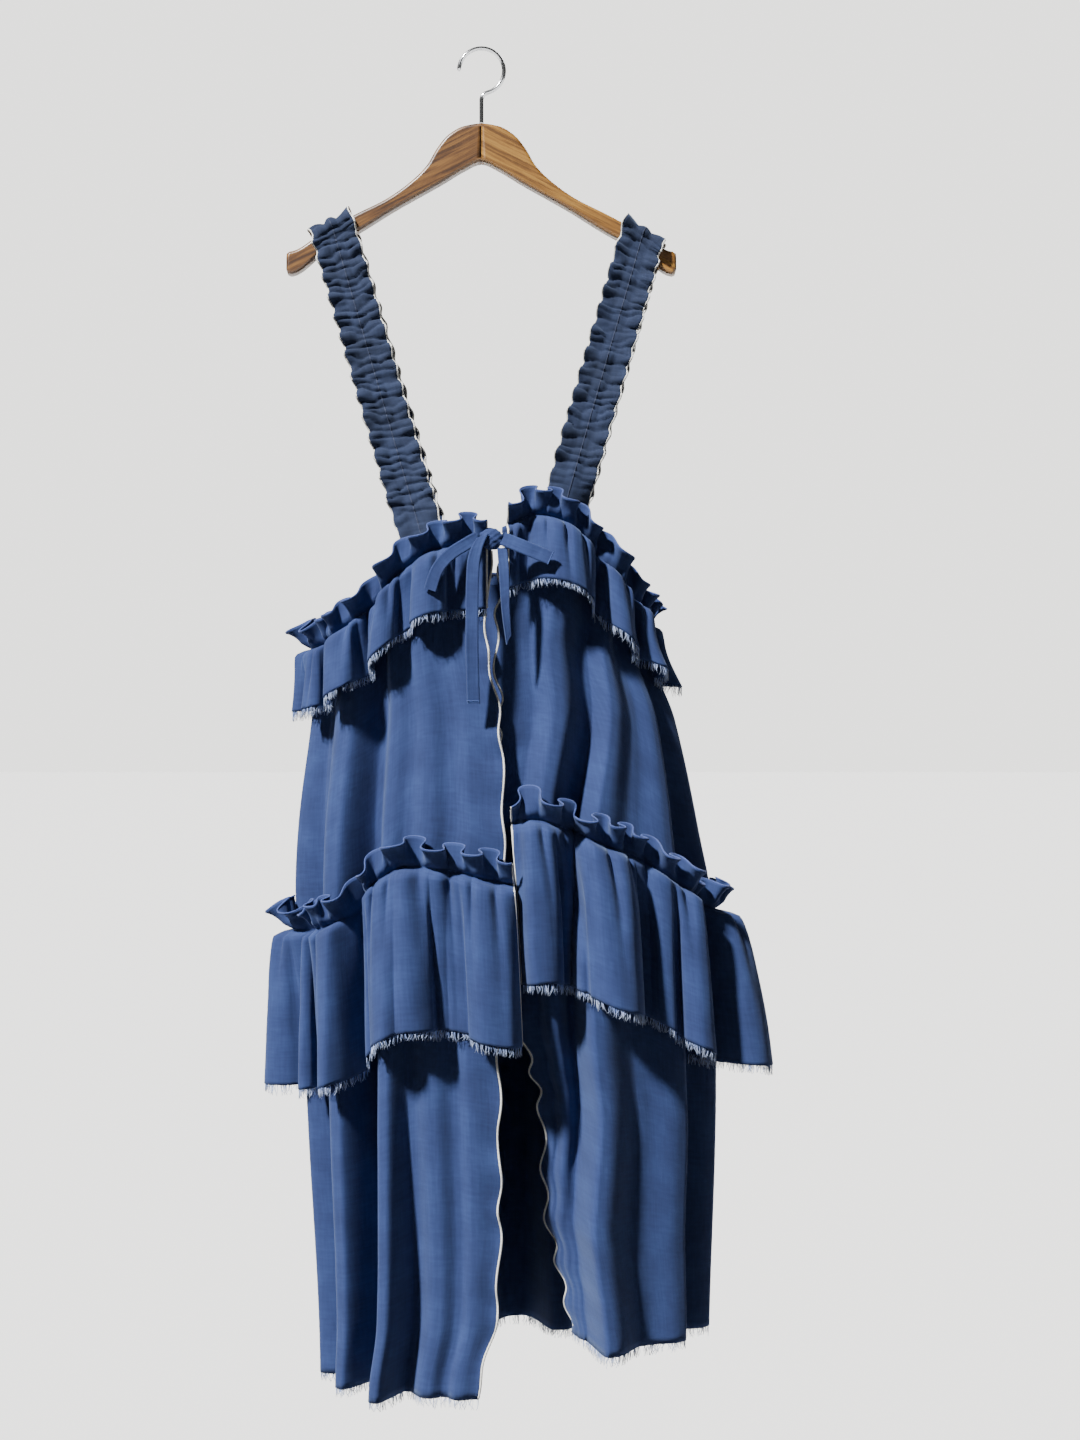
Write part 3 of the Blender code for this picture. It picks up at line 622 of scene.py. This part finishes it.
def crepe_twill(name, shade, body, light):
    """Washed cotton crepe twill: matt, with slubs along both threads and a fine diagonal rib."""
    finish, tree, shader = blank(name)
    cut = add_node(tree, "TexCoord").outputs["UV"]
    # Slubs 2 mm wide and 30 mm long down the cloth, and 3 mm by 18 mm across it.
    warp = add_node(tree, "Mapping", [("Vector", cut), ("Scale", (500.0, 33.0, 1.0))])
    weft = add_node(tree, "Mapping", [("Vector", cut), ("Scale", (55.0, 330.0, 1.0))])
    warp_slub = add_node(tree, "TexNoise", [("Vector", warp.outputs[0]), ("Scale", 1.0),
                                            ("Detail", 3.0)])
    weft_slub = add_node(tree, "TexNoise", [("Vector", weft.outputs[0]), ("Scale", 1.0),
                                            ("Detail", 3.0)])
    # Uneven dye and wash, in patches about 40 mm across.
    wash = add_node(tree, "TexNoise", [("Vector", cut), ("Scale", 24.0), ("Detail", 4.0)])
    slub = add_node(tree, "Math", [(0, warp_slub.outputs[0]), (1, weft_slub.outputs[0])],
                    operation="ADD")
    tone = add_node(tree, "Math", [(0, slub.outputs[0]), (1, 0.08)], operation="MULTIPLY")
    tone = add_node(tree, "Math", [(0, wash.outputs[0]), (1, 0.18), (2, tone.outputs[0])],
                    operation="MULTIPLY_ADD")
    colour = add_node(tree, "ValToRGB", [("Fac", tone.outputs[0])],
                      ((0.11, shade), (0.17, body), (0.24, light)))
    slant = (0.0, 0.0, math.radians(62.0))
    rib_place = add_node(tree, "Mapping", [("Vector", cut), ("Rotation", slant)])
    rib = add_node(tree, "TexWave", [("Vector", rib_place.outputs[0]), ("Scale", waves_each(RIB)),
                                     ("Distortion", 1.2), ("Detail", 1.0)])
    relief = add_node(tree, "Math", [(0, rib.outputs["Fac"]), (1, 0.45), (2, slub.outputs[0])],
                      operation="MULTIPLY_ADD")
    bump = add_node(tree, "Bump", [("Height", relief.outputs[0]), ("Strength", 0.35),
                                   ("Distance", 0.0006)])
    tree.links.new(colour.outputs["Color"], shader.inputs["Base Color"])
    tree.links.new(bump.outputs[0], shader.inputs["Normal"])
    shader.inputs["Roughness"].default_value = 0.88
    shader.inputs["Specular IOR Level"].default_value = 0.25
    shader.inputs["Sheen Weight"].default_value = 0.18
    shader.inputs["Sheen Roughness"].default_value = 0.5
    shader.inputs["Sheen Tint"].default_value = srgb("a9bfe6")
    return finish


def loose_yarn(name, root, tip):
    """Frayed warp ends: dyed at the root and nearly white where the dye has not reached."""
    finish, tree, shader = blank(name)
    split = add_node(tree, "SeparateXYZ", [("Vector", add_node(tree, "TexCoord").outputs["UV"])])
    tone = add_node(tree, "Math", [(0, split.outputs["Y"]), (1, 0.55), (2, split.outputs["X"])],
                    operation="MULTIPLY_ADD")
    colour = add_node(tree, "ValToRGB", [("Fac", tone.outputs[0])], ((0.15, root), (0.75, tip)))
    tree.links.new(colour.outputs["Color"], shader.inputs["Base Color"])
    shader.inputs["Roughness"].default_value = 0.9
    shader.inputs["Sheen Weight"].default_value = 0.2
    return finish


def polyester_thread(name, light, dark, pitch):
    """Overlock stitches packed along an edge, or one twisted thread, a groove at each pitch with painted
    shade in it.
    """
    finish, tree, shader = blank(name)
    place = add_node(tree, "Mapping", [("Vector", add_node(tree, "TexCoord").outputs["UV"]),
                                       ("Scale", (0.0, 1.0, 0.0))])
    stitch = add_node(tree, "TexWave", [("Vector", place.outputs[0]), ("Scale", waves_each(pitch))],
                      bands_direction="Y")
    # Painted shade: the colour goes from light to dark down into each groove, where the bump sinks.
    colour = add_node(tree, "ValToRGB", [("Fac", stitch.outputs["Fac"])], ((0.0, dark), (0.35, light)))
    tree.links.new(colour.outputs["Color"], shader.inputs["Base Color"])
    bump = add_node(tree, "Bump", [("Height", stitch.outputs["Fac"]), ("Strength", 0.5),
                                   ("Distance", 0.0004)])
    tree.links.new(bump.outputs[0], shader.inputs["Normal"])
    shader.inputs["Roughness"].default_value = 0.7
    shader.inputs["Sheen Weight"].default_value = 0.15
    return finish


def oiled_wood(name, slope, dark, body, light):
    """Oiled hardwood: grain along the arm, fine pores and a satin surface."""
    finish, tree, shader = blank(name)
    place = add_node(tree, "Mapping", [("Vector", add_node(tree, "TexCoord").outputs["Object"]),
                                       ("Rotation", (0.0, slope, 0.0))])
    # Growth rings show as streaks 3 to 5 mm wide and 70 mm long that run along the arm.
    long_grain = add_node(tree, "Mapping", [("Vector", place.outputs[0]),
                                            ("Scale", (14.0, 200.0, 330.0))])
    grain = add_node(tree, "TexNoise", [("Vector", long_grain.outputs[0]), ("Scale", 1.0),
                                        ("Detail", 4.0), ("Distortion", 0.5)])
    # Pores 0.7 mm wide and 11 mm long.
    pore_place = add_node(tree, "Mapping", [("Vector", place.outputs[0]),
                                            ("Scale", (90.0, 1500.0, 1500.0))])
    pores = add_node(tree, "TexNoise", [("Vector", pore_place.outputs[0]), ("Scale", 1.0),
                                        ("Detail", 2.0)])
    tone = add_node(tree, "Math", [(0, pores.outputs[0]), (1, 0.30), (2, grain.outputs[0])],
                    operation="MULTIPLY_ADD")
    colour = add_node(tree, "ValToRGB", [("Fac", tone.outputs[0])],
                      ((0.50, dark), (0.64, body), (0.80, light)))
    tree.links.new(colour.outputs["Color"], shader.inputs["Base Color"])
    bump = add_node(tree, "Bump", [("Height", tone.outputs[0]), ("Strength", 0.18),
                                   ("Distance", 0.0004)])
    tree.links.new(bump.outputs[0], shader.inputs["Normal"])
    shader.inputs["Roughness"].default_value = 0.42
    shader.inputs["Coat Weight"].default_value = 0.25
    shader.inputs["Coat Roughness"].default_value = 0.25
    return finish


def chrome_plate(name):
    """Chrome plate on steel wire, with faint scuffs about 1.4 mm across."""
    finish, tree, shader = blank(name)
    scuff = add_node(tree, "TexNoise", [("Vector", add_node(tree, "TexCoord").outputs["Object"]),
                                        ("Scale", 700.0), ("Detail", 2.0)])
    rough = add_node(tree, "MapRange", [("Value", scuff.outputs[0]), ("To Min", 0.08), ("To Max", 0.24)])
    tree.links.new(rough.outputs[0], shader.inputs["Roughness"])
    shader.inputs["Base Color"].default_value = srgb("c9cbce")
    shader.inputs["Metallic"].default_value = 1.0
    return finish


TWILL = crepe_twill("washed_crepe_twill", "212c52", "293762", "334574")
# The same cloth with painted shade: its colour is darkened for the shade on the straps and in the small
# folds of their shirring.
STRAP_TWILL_PAINTED_SHADE = crepe_twill("shirred_crepe_twill_painted_shade", "151d2f", "1d263d", "28334e")
YARN = loose_yarn("frayed_cotton_yarn", "7d98d6", "ccd9f6")
# The second colour of each thread is the painted shade of its grooves.
WHITE_OVERLOCK = polyester_thread("white_polyester_overlock", "f4f2ea", "cfcdc4", 0.0014)
BLUE_OVERLOCK = polyester_thread("blue_polyester_overlock", "33498a", "22325f", 0.0014)
BLUE_THREAD = polyester_thread("blue_sewing_thread", "3a5699", "263b70", 0.0010)
STRAP_THREAD = polyester_thread("dark_blue_sewing_thread", "1d2a4a", "131c33", 0.0010)
LEFT_WOOD = oiled_wood("oiled_hardwood_left", math.radians(-27.0), "5a3a15", "7f5623", "9e7332")
RIGHT_WOOD = oiled_wood("oiled_hardwood_right", math.radians(27.0), "392210", "5f3e1e", "80592c")
CHROME = chrome_plate("chrome_plated_wire")


# Skirt.


def edging(name, path, radius, finish, step=0.0016):
    """An overlocked edge along a path."""
    return threads(name, resample(path, step)[None], radius, finish, sides=6)


# Radii of the overlocked edges, the rolled edge of a header, and the threads of seams.
SKIRT_EDGE = 0.0012
STRIP_EDGE = 0.0011
STRAP_EDGE = 0.0010
ROLLED_EDGE = 0.0008
STITCH_RADIUS = 0.00032
SEAM_RADIUS = 0.0005
TIE_HEM_RADIUS = 0.0004
# Loose warp ends for each metre of hem, how long they are, and their radius at the root.
ENDS_A_METRE = 1000.0
SHORTEST_END = 0.007
LONGEST_END = 0.0135
END_RADIUS = 0.00034


def fray(name, hem_point, length, replaced, seed):
    """Loose warp ends along a hem.

    hem_point takes the share of the hem's length and how far below its edge, in metres.
    """
    chance = np.random.default_rng(seed)
    count = int(length * ENDS_A_METRE)
    shares = np.sort(chance.uniform(0.0, 1.0, count))
    reach = chance.uniform(SHORTEST_END, LONGEST_END, count)
    reach = reach * (0.8 + 0.2 * crumple(shares * length / 0.02, 0.5, seed))
    steps = np.linspace(0.0, 1.0, 5)
    lean = chance.normal(0.0, 0.0022, count)[:, None] * steps ** 1.3
    curl = chance.normal(0.0, 0.0011, count)[:, None] * np.sin(math.pi * steps)
    below = -0.0006 + reach[:, None] * steps
    places = shares[:, None] + (lean + curl) / length
    paths = hem_point(np.clip(places, 0.0, 1.0), below)
    paths[..., 1] += chance.normal(0.0, 0.0012, count)[:, None] * steps ** 1.5
    radii = END_RADIUS * (1.0 - 0.45 * steps)[None, :] * chance.uniform(0.75, 1.25, count)[:, None]
    shades = chance.uniform(0.0, 0.5, count)
    return threads(name, paths, radii, YARN, replaced, sides=3, shades=shades)


def hem_of(point_at):
    """A hem as fray takes it, and its length. point_at takes the share of its panel."""
    shares = np.linspace(0.0, 1.0, 1500)
    lengths = way_along(point_at(shares))

    def hem_point(place, below):
        edge = point_at(np.interp(place * lengths[-1], lengths, shares))
        edge[..., 2] -= below
        return edge

    return hem_point, float(lengths[-1])


# Columns across and rows down of each panel's mesh.
SKIRT_GRID = {"right_front": (170, 130), "back": (230, 110), "left_front": (170, 130)}
for panel, (columns, rows) in SKIRT_GRID.items():
    shares = np.linspace(0.0, 1.0, columns)[None, :]
    drops = np.linspace(0.0, 2.0, rows)[:, None]
    skirt = cloth("skirt_%s_cloth" % panel, skirt_point(panel, shares, drops), TWILL,
                  ("skirt_" + panel,))
    going = []
    if panel != "back":
        side = panel.split("_")[0]
        share = 0.0 if side == "right" else 1.0
        path = skirt_point(panel, np.full(500, share), np.linspace(0.02, 1.998, 500))
        path[:, 1] -= CLOTH / 2.0
        going.append(edging("skirt_%s_edge" % side, path, SKIRT_EDGE, WHITE_OVERLOCK))
    hem = hem_of(lambda s: skirt_point(panel, s, 0.0 * s + 2.0))
    going.append(fray("skirt_%s_fringe" % panel, *hem, ("skirt_fray_" + panel,), 41))

# Gathered strips.

# Columns across each piece's mesh.
STRIP_GRID = {"right_front": 260, "back": 400, "left_front": 250}
# A gathering stitch is two of these steps long, and so is the gap after it.
STITCH_STEP = 0.0013
FRILL_CUTS = {"right_front": (0.38, 0.103), "back": (0.68, 0.103), "left_front": (0.33, 0.103)}
FLOUNCE_CUTS = {"right_front": (0.49, 0.20), "back": (0.94, 0.20), "left_front": (0.47, 0.20)}
# The last number of each is the rows of its mesh below the stitches.
for strip, pieces, cuts, fall_rows in ((FRILL, FRILL_PIECES, FRILL_CUTS, 23),
                                       (FLOUNCE, FLOUNCE_PIECES, FLOUNCE_CUTS, 45)):
    for piece in pieces:
        panel = piece[0]
        label = "%s_%s" % (strip["name"], panel)
        shares = np.linspace(0.0, 1.0, STRIP_GRID[panel])[None, :]
        falls = np.concatenate([np.linspace(-1.0, 0.0, 13), np.linspace(0.0, 1.0, fall_rows)[1:]])
        points = strip_point(strip, piece, shares, falls[:, None])
        body = cloth(label + "_cloth", points, TWILL, (label,))
        fine = np.linspace(0.0, 1.0, 1400)
        path = strip_point(strip, piece, fine, 0.0 * fine - 1.0) + np.array([0.0, 0.0, 0.0002])
        going = [edging(label + "_rolled_edge", path, ROLLED_EDGE, BLUE_OVERLOCK)]
        # The gathering stitches lie on the cloth's outer face.
        line = resample(strip_point(strip, piece, fine, 0.0 * fine), STITCH_STEP)
        outward = np.stack([line[:, 0] - 0.01, line[:, 1], 0.0 * line[:, 0]], axis=1)
        outward /= np.linalg.norm(outward, axis=1)[:, None]
        line = line + outward * (CLOTH + 0.0001)
        stitches = np.stack([line[i:i + 3] for i in range(0, len(line) - 3, 4)])
        going.append(threads(label + "_stitches", stitches, STITCH_RADIUS, BLUE_THREAD))
        if panel != "back":
            share = 0.0 if panel == "right_front" else 1.0
            falls = np.linspace(-0.97, 0.995, 260)
            path = strip_point(strip, piece, 0.0 * falls + share, falls)
            path[:, 1] -= CLOTH / 2.0
            going.append(edging(label + "_front_edge", path, STRIP_EDGE, WHITE_OVERLOCK))
        hem = hem_of(lambda s: strip_point(strip, piece, s, 0.0 * s + 1.0))
        going.append(fray(label + "_fringe", *hem, ("%s_fray_%s" % (strip["name"], panel),),
                          51 + len(label)))

# Straps.


def hanger_top(across):
    """The height of the hanger's upper edge."""
    return curve_through(HANGER_TOP, 1, abs(across))


def strap_rows(side, crossing, base_across, front_turn, back_turn, places):
    """Points of a shirred strap, from the back of the waist over the hanger to the front.

    Each of its rows runs the whole way, at a place across from -1 to 1.
    """
    top = float(hanger_top(crossing))
    front = float(height_at(front_turn, 0.0)) - STRAP_TUCK
    back = float(height_at(back_turn, 0.0)) - STRAP_TUCK
    lean = (base_across - crossing) / (top - float(height_at(front_turn, 0.0)))
    stretch = math.hypot(1.0, lean)
    near = HANGER_THICK / 2.0 + 0.0008
    # Columns: how far down along the strap from the hanger's top, depth.
    path = np.array((
        ((top - back) * stretch, float(around(back_turn, back, 0.0)[1])),
        (0.030, near + 0.0030),
        (0.010, near),
        (0.0002, near),
        (-0.0026, 0.0052),
        (-0.0030, 0.0),
        (-0.0026, -0.0052),
        (0.0002, -near),
        (0.010, -near),
        (0.030, -near - 0.0030),
        ((top - front) * stretch, float(around(front_turn, front, 0.0)[1])),
    ))
    lengths = np.concatenate([[0.0], np.cumsum(np.hypot(*np.diff(path, axis=0).T))])
    waves = round(lengths[-1] / STRAP_PITCH)
    # The bends over the hanger keep points of their own.
    steps = np.arange(0.0, lengths[-1], 0.0016)
    along = np.unique(np.concatenate([steps, lengths[2:9], lengths[-1:]]))
    down = np.interp(along, lengths, path[:, 0])
    depth = np.interp(along, lengths, path[:, 1])
    middle = np.stack([crossing + down * lean / stretch, depth, top - down / stretch], axis=-1)
    tangent = np.gradient(middle, axis=0)
    # The strap lies on the arm's slope, and turns to a gentler tip within about 50 mm below it.
    arm_fall = float(hanger_top(abs(crossing) - 0.01)) - float(hanger_top(abs(crossing) + 0.01))
    on_arm = np.exp(-down / 0.05)
    tip = math.atan(arm_fall / 0.02) * on_arm + 0.18 * (1.0 - on_arm)
    tip = tip * (-1.0 if crossing > 0.0 else 1.0)
    across = np.stack([np.cos(tip), 0.0 * tip, np.sin(tip)], axis=-1)
    normal = np.cross(tangent, across)
    normal /= np.linalg.norm(normal, axis=1)[:, None]
    phase = TURN * waves * along / lengths[-1]
    line = np.where(depth < 0.0, height_at(front_turn, 0.0), height_at(back_turn, 0.0))
    clear = ease((middle[:, 2] - line - 0.012) / 0.045)
    wall_share = 1.0 - ease((middle[:, 2] - line - 0.004) / 0.050)
    seed = 61 if crossing < 0.0 else 71
    rows = []
    for place in places:
        swell = 0.5 - 0.5 * np.cos(phase + 0.6 * (place > 0.0) + 0.9 * crumple(along / 0.03, place, seed))
        half = STRAP_WIDTH / 2.0 * (1.0 + 0.12 * swell * clear)
        ruffle = RUFFLE * abs(place) ** 2.2 * swell * clear
        # Shirring: puckers that wander across the strap, round with sharp valleys.
        run = along / PUCKER_PITCH + 0.50 * crumple(along / 0.016, 1.1 * place + 4.0, seed + 1)
        run = run + 0.38 * crumple(along / 0.0075, 2.4 * place + 9.0, seed + 2)
        pucker = np.abs(np.sin(math.pi * run)) ** 0.55
        fullness = 0.65 + 0.35 * crumple(along / 0.010, 1.7 * place + 7.0, seed + 3)
        rows_of_elastic = 0.62 + 0.38 * np.abs(np.sin(math.pi * (place * 1.5 + 0.5)))
        gathered = PUCKER * pucker * fullness * rows_of_elastic * (0.35 + 0.65 * clear)
        point = middle + across * (place * half)[:, None] + normal * (ruffle + gathered)[:, None]
        # Inside the waist the strap follows the skirt's inner face.
        level = np.minimum(point[:, 2], line)
        centre = curve_through(OVALS, 1, level)
        width = curve_through(OVALS, 2, level)
        sine = np.clip((centre - point[:, 0]) / width, -0.98, 0.98)
        turn = np.arcsin(sine) / TURN
        turn = np.where(depth < 0.0, np.where(turn < 0.0, turn + 1.0, turn), 0.5 - turn)
        inside = np.zeros(len(turn))
        for name in (side + "_front", "back"):
            first, last = edges_at(name, 0.0)
            low = skirt_out(name, (turn - first) / (last - first), 0.0 * turn)
            chosen = (depth < 0.0) == (name != "back")
            inside = np.where(chosen, low, inside)
        hidden = around(turn, level, inside - 0.0030)[:, 1]
        point[:, 1] += (hidden - point[:, 1]) * wall_share
        rows.append(point)
    return np.stack(rows, axis=0)


for strap in STRAPS:
    label = "strap_" + strap[0]
    rows = strap_rows(*strap, np.linspace(-1.0, 1.0, 19))
    # The straps wear the twill darkened with painted shade.
    body = cloth(label + "_cloth", rows, STRAP_TWILL_PAINTED_SHADE, (label,))
    going = []
    for name, row in (("inner", 0), ("outer", -1)):
        path = rows[row] + np.array([0.0, -0.0004, 0.0])
        going.append(edging("%s_%s_edge" % (label, name), path, STRAP_EDGE, WHITE_OVERLOCK, 0.0014))
    # The joining seam down the middle.
    seam = resample(rows[len(rows) // 2], 0.0012)
    outward = np.where(seam[:, 1:2] < 0.0, [[0.0, -1.0, 0.0]], [[0.0, 1.0, 0.0]])
    seam = seam + outward * (CLOTH + 0.0002)
    going.append(threads(label + "_seam", seam[None], SEAM_RADIUS, STRAP_THREAD, sides=5))

# Tie.


def smooth_rows(rows, count):
    """More rows on a smooth curve through a table's rows."""
    table = np.array(rows, dtype=float)
    lengths = way_along(table[:, :3])
    places = np.linspace(0.0, lengths[-1], count)
    numbered = [tuple([s, *row]) for s, row in zip(lengths, table.tolist())]
    return np.stack([curve_through(numbered, k + 1, places) for k in range(table.shape[1])], axis=1)


# A tie is folded double, so it is a little thicker than the cloth.
BAND_WALL = 0.0014
# Rows down a band's mesh.
BAND_ROWS = 70


def band(name, rows, width, hem=False):
    """A folded tie band. Columns: across, depth, height, and the angle of its width from level."""
    rows = smooth_rows(rows, BAND_ROWS)
    angle = np.radians(rows[:, 3])
    across = np.stack([np.cos(angle), 0.0 * angle, np.sin(angle)], axis=-1)
    places = np.linspace(-0.5, 0.5, 9)
    points = rows[:, None, :3] - across[:, None] * (places * width)[None, :, None]
    # Its folded edges lie a little fuller than its middle, and it is never quite flat.
    full = 0.0005 * (2.0 * np.abs(places)) ** 4
    wavy = 0.0007 * bumps(np.arange(BAND_ROWS)[:, None] / 9.0, places[None, :] * 1.4, 81)
    points[..., 1] -= full[None, :] + wavy
    body = cloth(name + "_band", points, TWILL, (name,), BAND_WALL)
    if hem:
        low = points[-5] - np.array([0.0, BAND_WALL + 0.0003, 0.0])
        low = resample(low, 0.001)
        threads(name + "_hem", low[None], TIE_HEM_RADIUS, BLUE_THREAD)


band("tie_loop", (
    (-0.0005, -0.1035, -0.5120, -56.0),
    (-0.013, -0.1065, -0.5195, -54.0),
    (-0.028, -0.1100, -0.5300, -46.0),
    (-0.040, -0.1130, -0.5455, -30.0),
    (-0.046, -0.1145, -0.5640, -17.0),
), 0.0125)
band("tie_long_tail", (
    (0.0045, -0.1066, -0.5110, 20.0),
    (-0.001, -0.1088, -0.5225, 10.0),
    (-0.0045, -0.1105, -0.5400, 0.0),
    (-0.0055, -0.1130, -0.5750, 0.0),
    (-0.0055, -0.1150, -0.6120, 0.0),
    (-0.004, -0.1120, -0.6740, 0.0),
), 0.0125, hem=True)
band("tie_short_end", (
    (0.0241, -0.1035, -0.5130, 66.0),
    (0.045, -0.1090, -0.5220, 66.0),
    (0.071, -0.1120, -0.5330, 66.0),
), 0.0135, hem=True)
band("tie_twisted_tail", (
    (0.0235, -0.1030, -0.5225, 0.0),
    (0.0255, -0.1085, -0.5480, 10.0),
    (0.0270, -0.1095, -0.5800, 35.0),
    (0.0300, -0.1060, -0.6120, 60.0),
), 0.0100)

# The knot: cloth wrapped over itself, with folds that run round it.
KNOT_AT = (0.0128, -0.1007, -0.5130)
KNOT_HALF = (0.0117, 0.0060, 0.0110)
# How much flat cloth its wrap takes, round it and up it.
KNOT_CLOTH = (0.060, 0.030)
knot_mesh = bmesh.new()
knot_cut = knot_mesh.loops.layers.uv.new("cut")
bmesh.ops.create_uvsphere(knot_mesh, u_segments=64, v_segments=40, radius=1.0, calc_uvs=True)
for face in knot_mesh.faces:
    for corner in face.loops:
        corner[knot_cut].uv = [size * place for size, place in zip(KNOT_CLOTH, corner[knot_cut].uv)]
for vertex in knot_mesh.verts:
    x, y, z = vertex.co
    fold = 0.060 * math.sin(9.0 * (z + 0.5 * x) + 1.3) + 0.045 * math.sin(13.0 * (z - 0.7 * x))
    swell = 1.0 + fold * (1.0 - 0.6 * abs(z))
    vertex.co = [at + half * place * swell for at, half, place in zip(KNOT_AT, KNOT_HALF, (x, y, z))]
knot_data = bpy.data.meshes.new("tie_knot_wrap")
knot_mesh.to_mesh(knot_data)
knot_mesh.free()
knot_data.shade_smooth()
link("tie_knot_wrap", knot_data, TWILL, ("tie_knot",))

# Hanger.

# How far out the arm's two edges run. The outline of its end closes them.
TOP_END = 0.1970
UNDERSIDE_END = 0.1945
for side, sign, wood in (("left", 1.0, LEFT_WOOD), ("right", -1.0, RIGHT_WOOD)):
    tops = np.linspace(SEAM_GAP / 2.0, TOP_END, 60)
    lows = np.linspace(SEAM_GAP / 2.0, UNDERSIDE_END, 50)[::-1]
    outline = [(x, float(curve_through(HANGER_TOP, 1, x))) for x in tops]
    outline += HANGER_END
    outline += [(x, float(curve_through(HANGER_UNDERSIDE, 1, x))) for x in lows]
    flat = bmesh.new()
    flat.faces.new([flat.verts.new((sign * x, HANGER_THICK / 2.0, z)) for x, z in outline])
    # All edges are rounded but the two where the halves meet.
    weight = flat.edges.layers.float.new("bevel_weight_edge")
    for edge in flat.edges:
        edge[weight] = 0.0 if all(abs(corner.co.x) < 0.001 for corner in edge.verts) else 1.0
    bmesh.ops.recalc_face_normals(flat, faces=flat.faces)
    if flat.faces[:][0].normal.y > 0.0:
        bmesh.ops.reverse_faces(flat, faces=flat.faces[:])
    arm_data = bpy.data.meshes.new("hanger_%s_wood" % side)
    flat.to_mesh(arm_data)
    flat.free()
    arm_data.shade_smooth()
    arm = link("hanger_%s_wood" % side, arm_data, wood, ("hanger_" + side,))
    thick = arm.modifiers.new("thickness", "SOLIDIFY")
    thick.thickness = HANGER_THICK
    thick.offset = 1.0
    rounded = arm.modifiers.new("rounded edge", "BEVEL")
    rounded.width = 0.0042
    rounded.segments = 5
    rounded.limit_method = "WEIGHT"
    rounded.harden_normals = True


def hook_path():
    """The wire's middle line, from its open end over the top and down its stem."""
    start, end = math.radians(180.0), -HOOK_SWEEP
    centre = -HOOK_RADIUS + HOOK_WIRE
    points = []
    for angle in np.linspace(start, end, 90):
        points.append((HOOK_RADIUS * math.cos(angle), centre + HOOK_RADIUS * math.sin(angle)))
    turn_x = points[-1][0] + HOOK_BEND * math.cos(end)
    turn_z = points[-1][1] + HOOK_BEND * math.sin(end)
    shift = turn_x - HOOK_BEND
    for angle in np.linspace(end + math.pi, math.pi, 24)[1:]:
        points.append((turn_x + HOOK_BEND * math.cos(angle), turn_z + HOOK_BEND * math.sin(angle)))
    points = [(x - shift, z) for x, z in points]
    for z in np.linspace(points[-1][1], HANGER_TOP[0][1] + SEAM_GAP, 12)[1:]:
        points.append((0.0, z))
    return np.array([(x, 0.0, z) for x, z in points])


wire = hook_path()
# Its open end is rounded off.
radii = np.full(len(wire), HOOK_WIRE)
radii[:3] *= (0.55, 0.85, 0.97)
threads("hook_wire", wire[None], radii[None], CHROME, ("hook",), sides=20)

# Stage, light and camera.

FLOOR_HALF = 80.0
FLOOR_HEIGHT = -3.0
floor_data = bpy.data.meshes.new("floor")
corners = [(x * FLOOR_HALF, y * FLOOR_HALF, FLOOR_HEIGHT) for x, y in ((-1, -1), (1, -1), (1, 1), (-1, 1))]
floor_data.from_pydata(corners, [], [(0, 1, 2, 3)])
floor = bpy.data.objects.new("floor", floor_data)
paper, _, paper_shader = blank("pale_studio_paper")
paper_shader.inputs["Base Color"].default_value = srgb("f8f7f5")
paper_shader.inputs["Roughness"].default_value = 0.9
floor_data.materials.append(paper)
bpy.context.scene.collection.objects.link(floor)
# The paper catches the light but throws none back up, so that the folds keep their depth.
floor.visible_diffuse = False

# The room: a pale backdrop that is brighter to look at than the light it gives.
world = bpy.data.worlds.new("soft_studio")
world.use_nodes = True
air = world.node_tree
backdrop = air.nodes["Background"]
backdrop.inputs["Color"].default_value = srgb("f4f3f0")
seen = add_node(air, "MapRange", [("Value", add_node(air, "LightPath").outputs["Is Camera Ray"]),
                                  ("To Min", 0.10), ("To Max", 2.5)])
air.links.new(seen.outputs[0], backdrop.inputs["Strength"])
bpy.context.scene.world = world

DRESS_MIDDLE = Vector((0.0, 0.0, -0.8))


def aimed_light(name, kind, place, strength, **settings):
    """A lamp at a place that shines on the middle of the dress."""
    lamp = bpy.data.lights.new(name, kind)
    lamp.energy = strength
    for key, value in settings.items():
        setattr(lamp, key, value)
    thing = bpy.data.objects.new(name, lamp)
    thing.location = place
    thing.rotation_euler = (DRESS_MIDDLE - Vector(place)).to_track_quat("-Z", "Y").to_euler()
    bpy.context.scene.collection.objects.link(thing)


aimed_light("key", "SUN", (-2.3, -2.35, 2.5), 11.0, angle=math.radians(4.0))
aimed_light("fill", "AREA", (2.6, -2.4, -0.4), 2.5, size=2.0)
aimed_light("back", "SUN", (1.4, 2.8, 1.6), 1.1, angle=math.radians(20.0))

# The camera looks level at the dress from in front, 1.9 m away.
lens = bpy.data.cameras.new("camera")
lens.lens = 46.12
lens.sensor_width = 36.0
camera = bpy.data.objects.new("camera", lens)
camera.location = (0.0603, -1.9, -0.6896)
camera.rotation_euler = (math.radians(90.0), 0.0, 0.0)
bpy.context.scene.collection.objects.link(camera)
bpy.context.scene.camera = camera
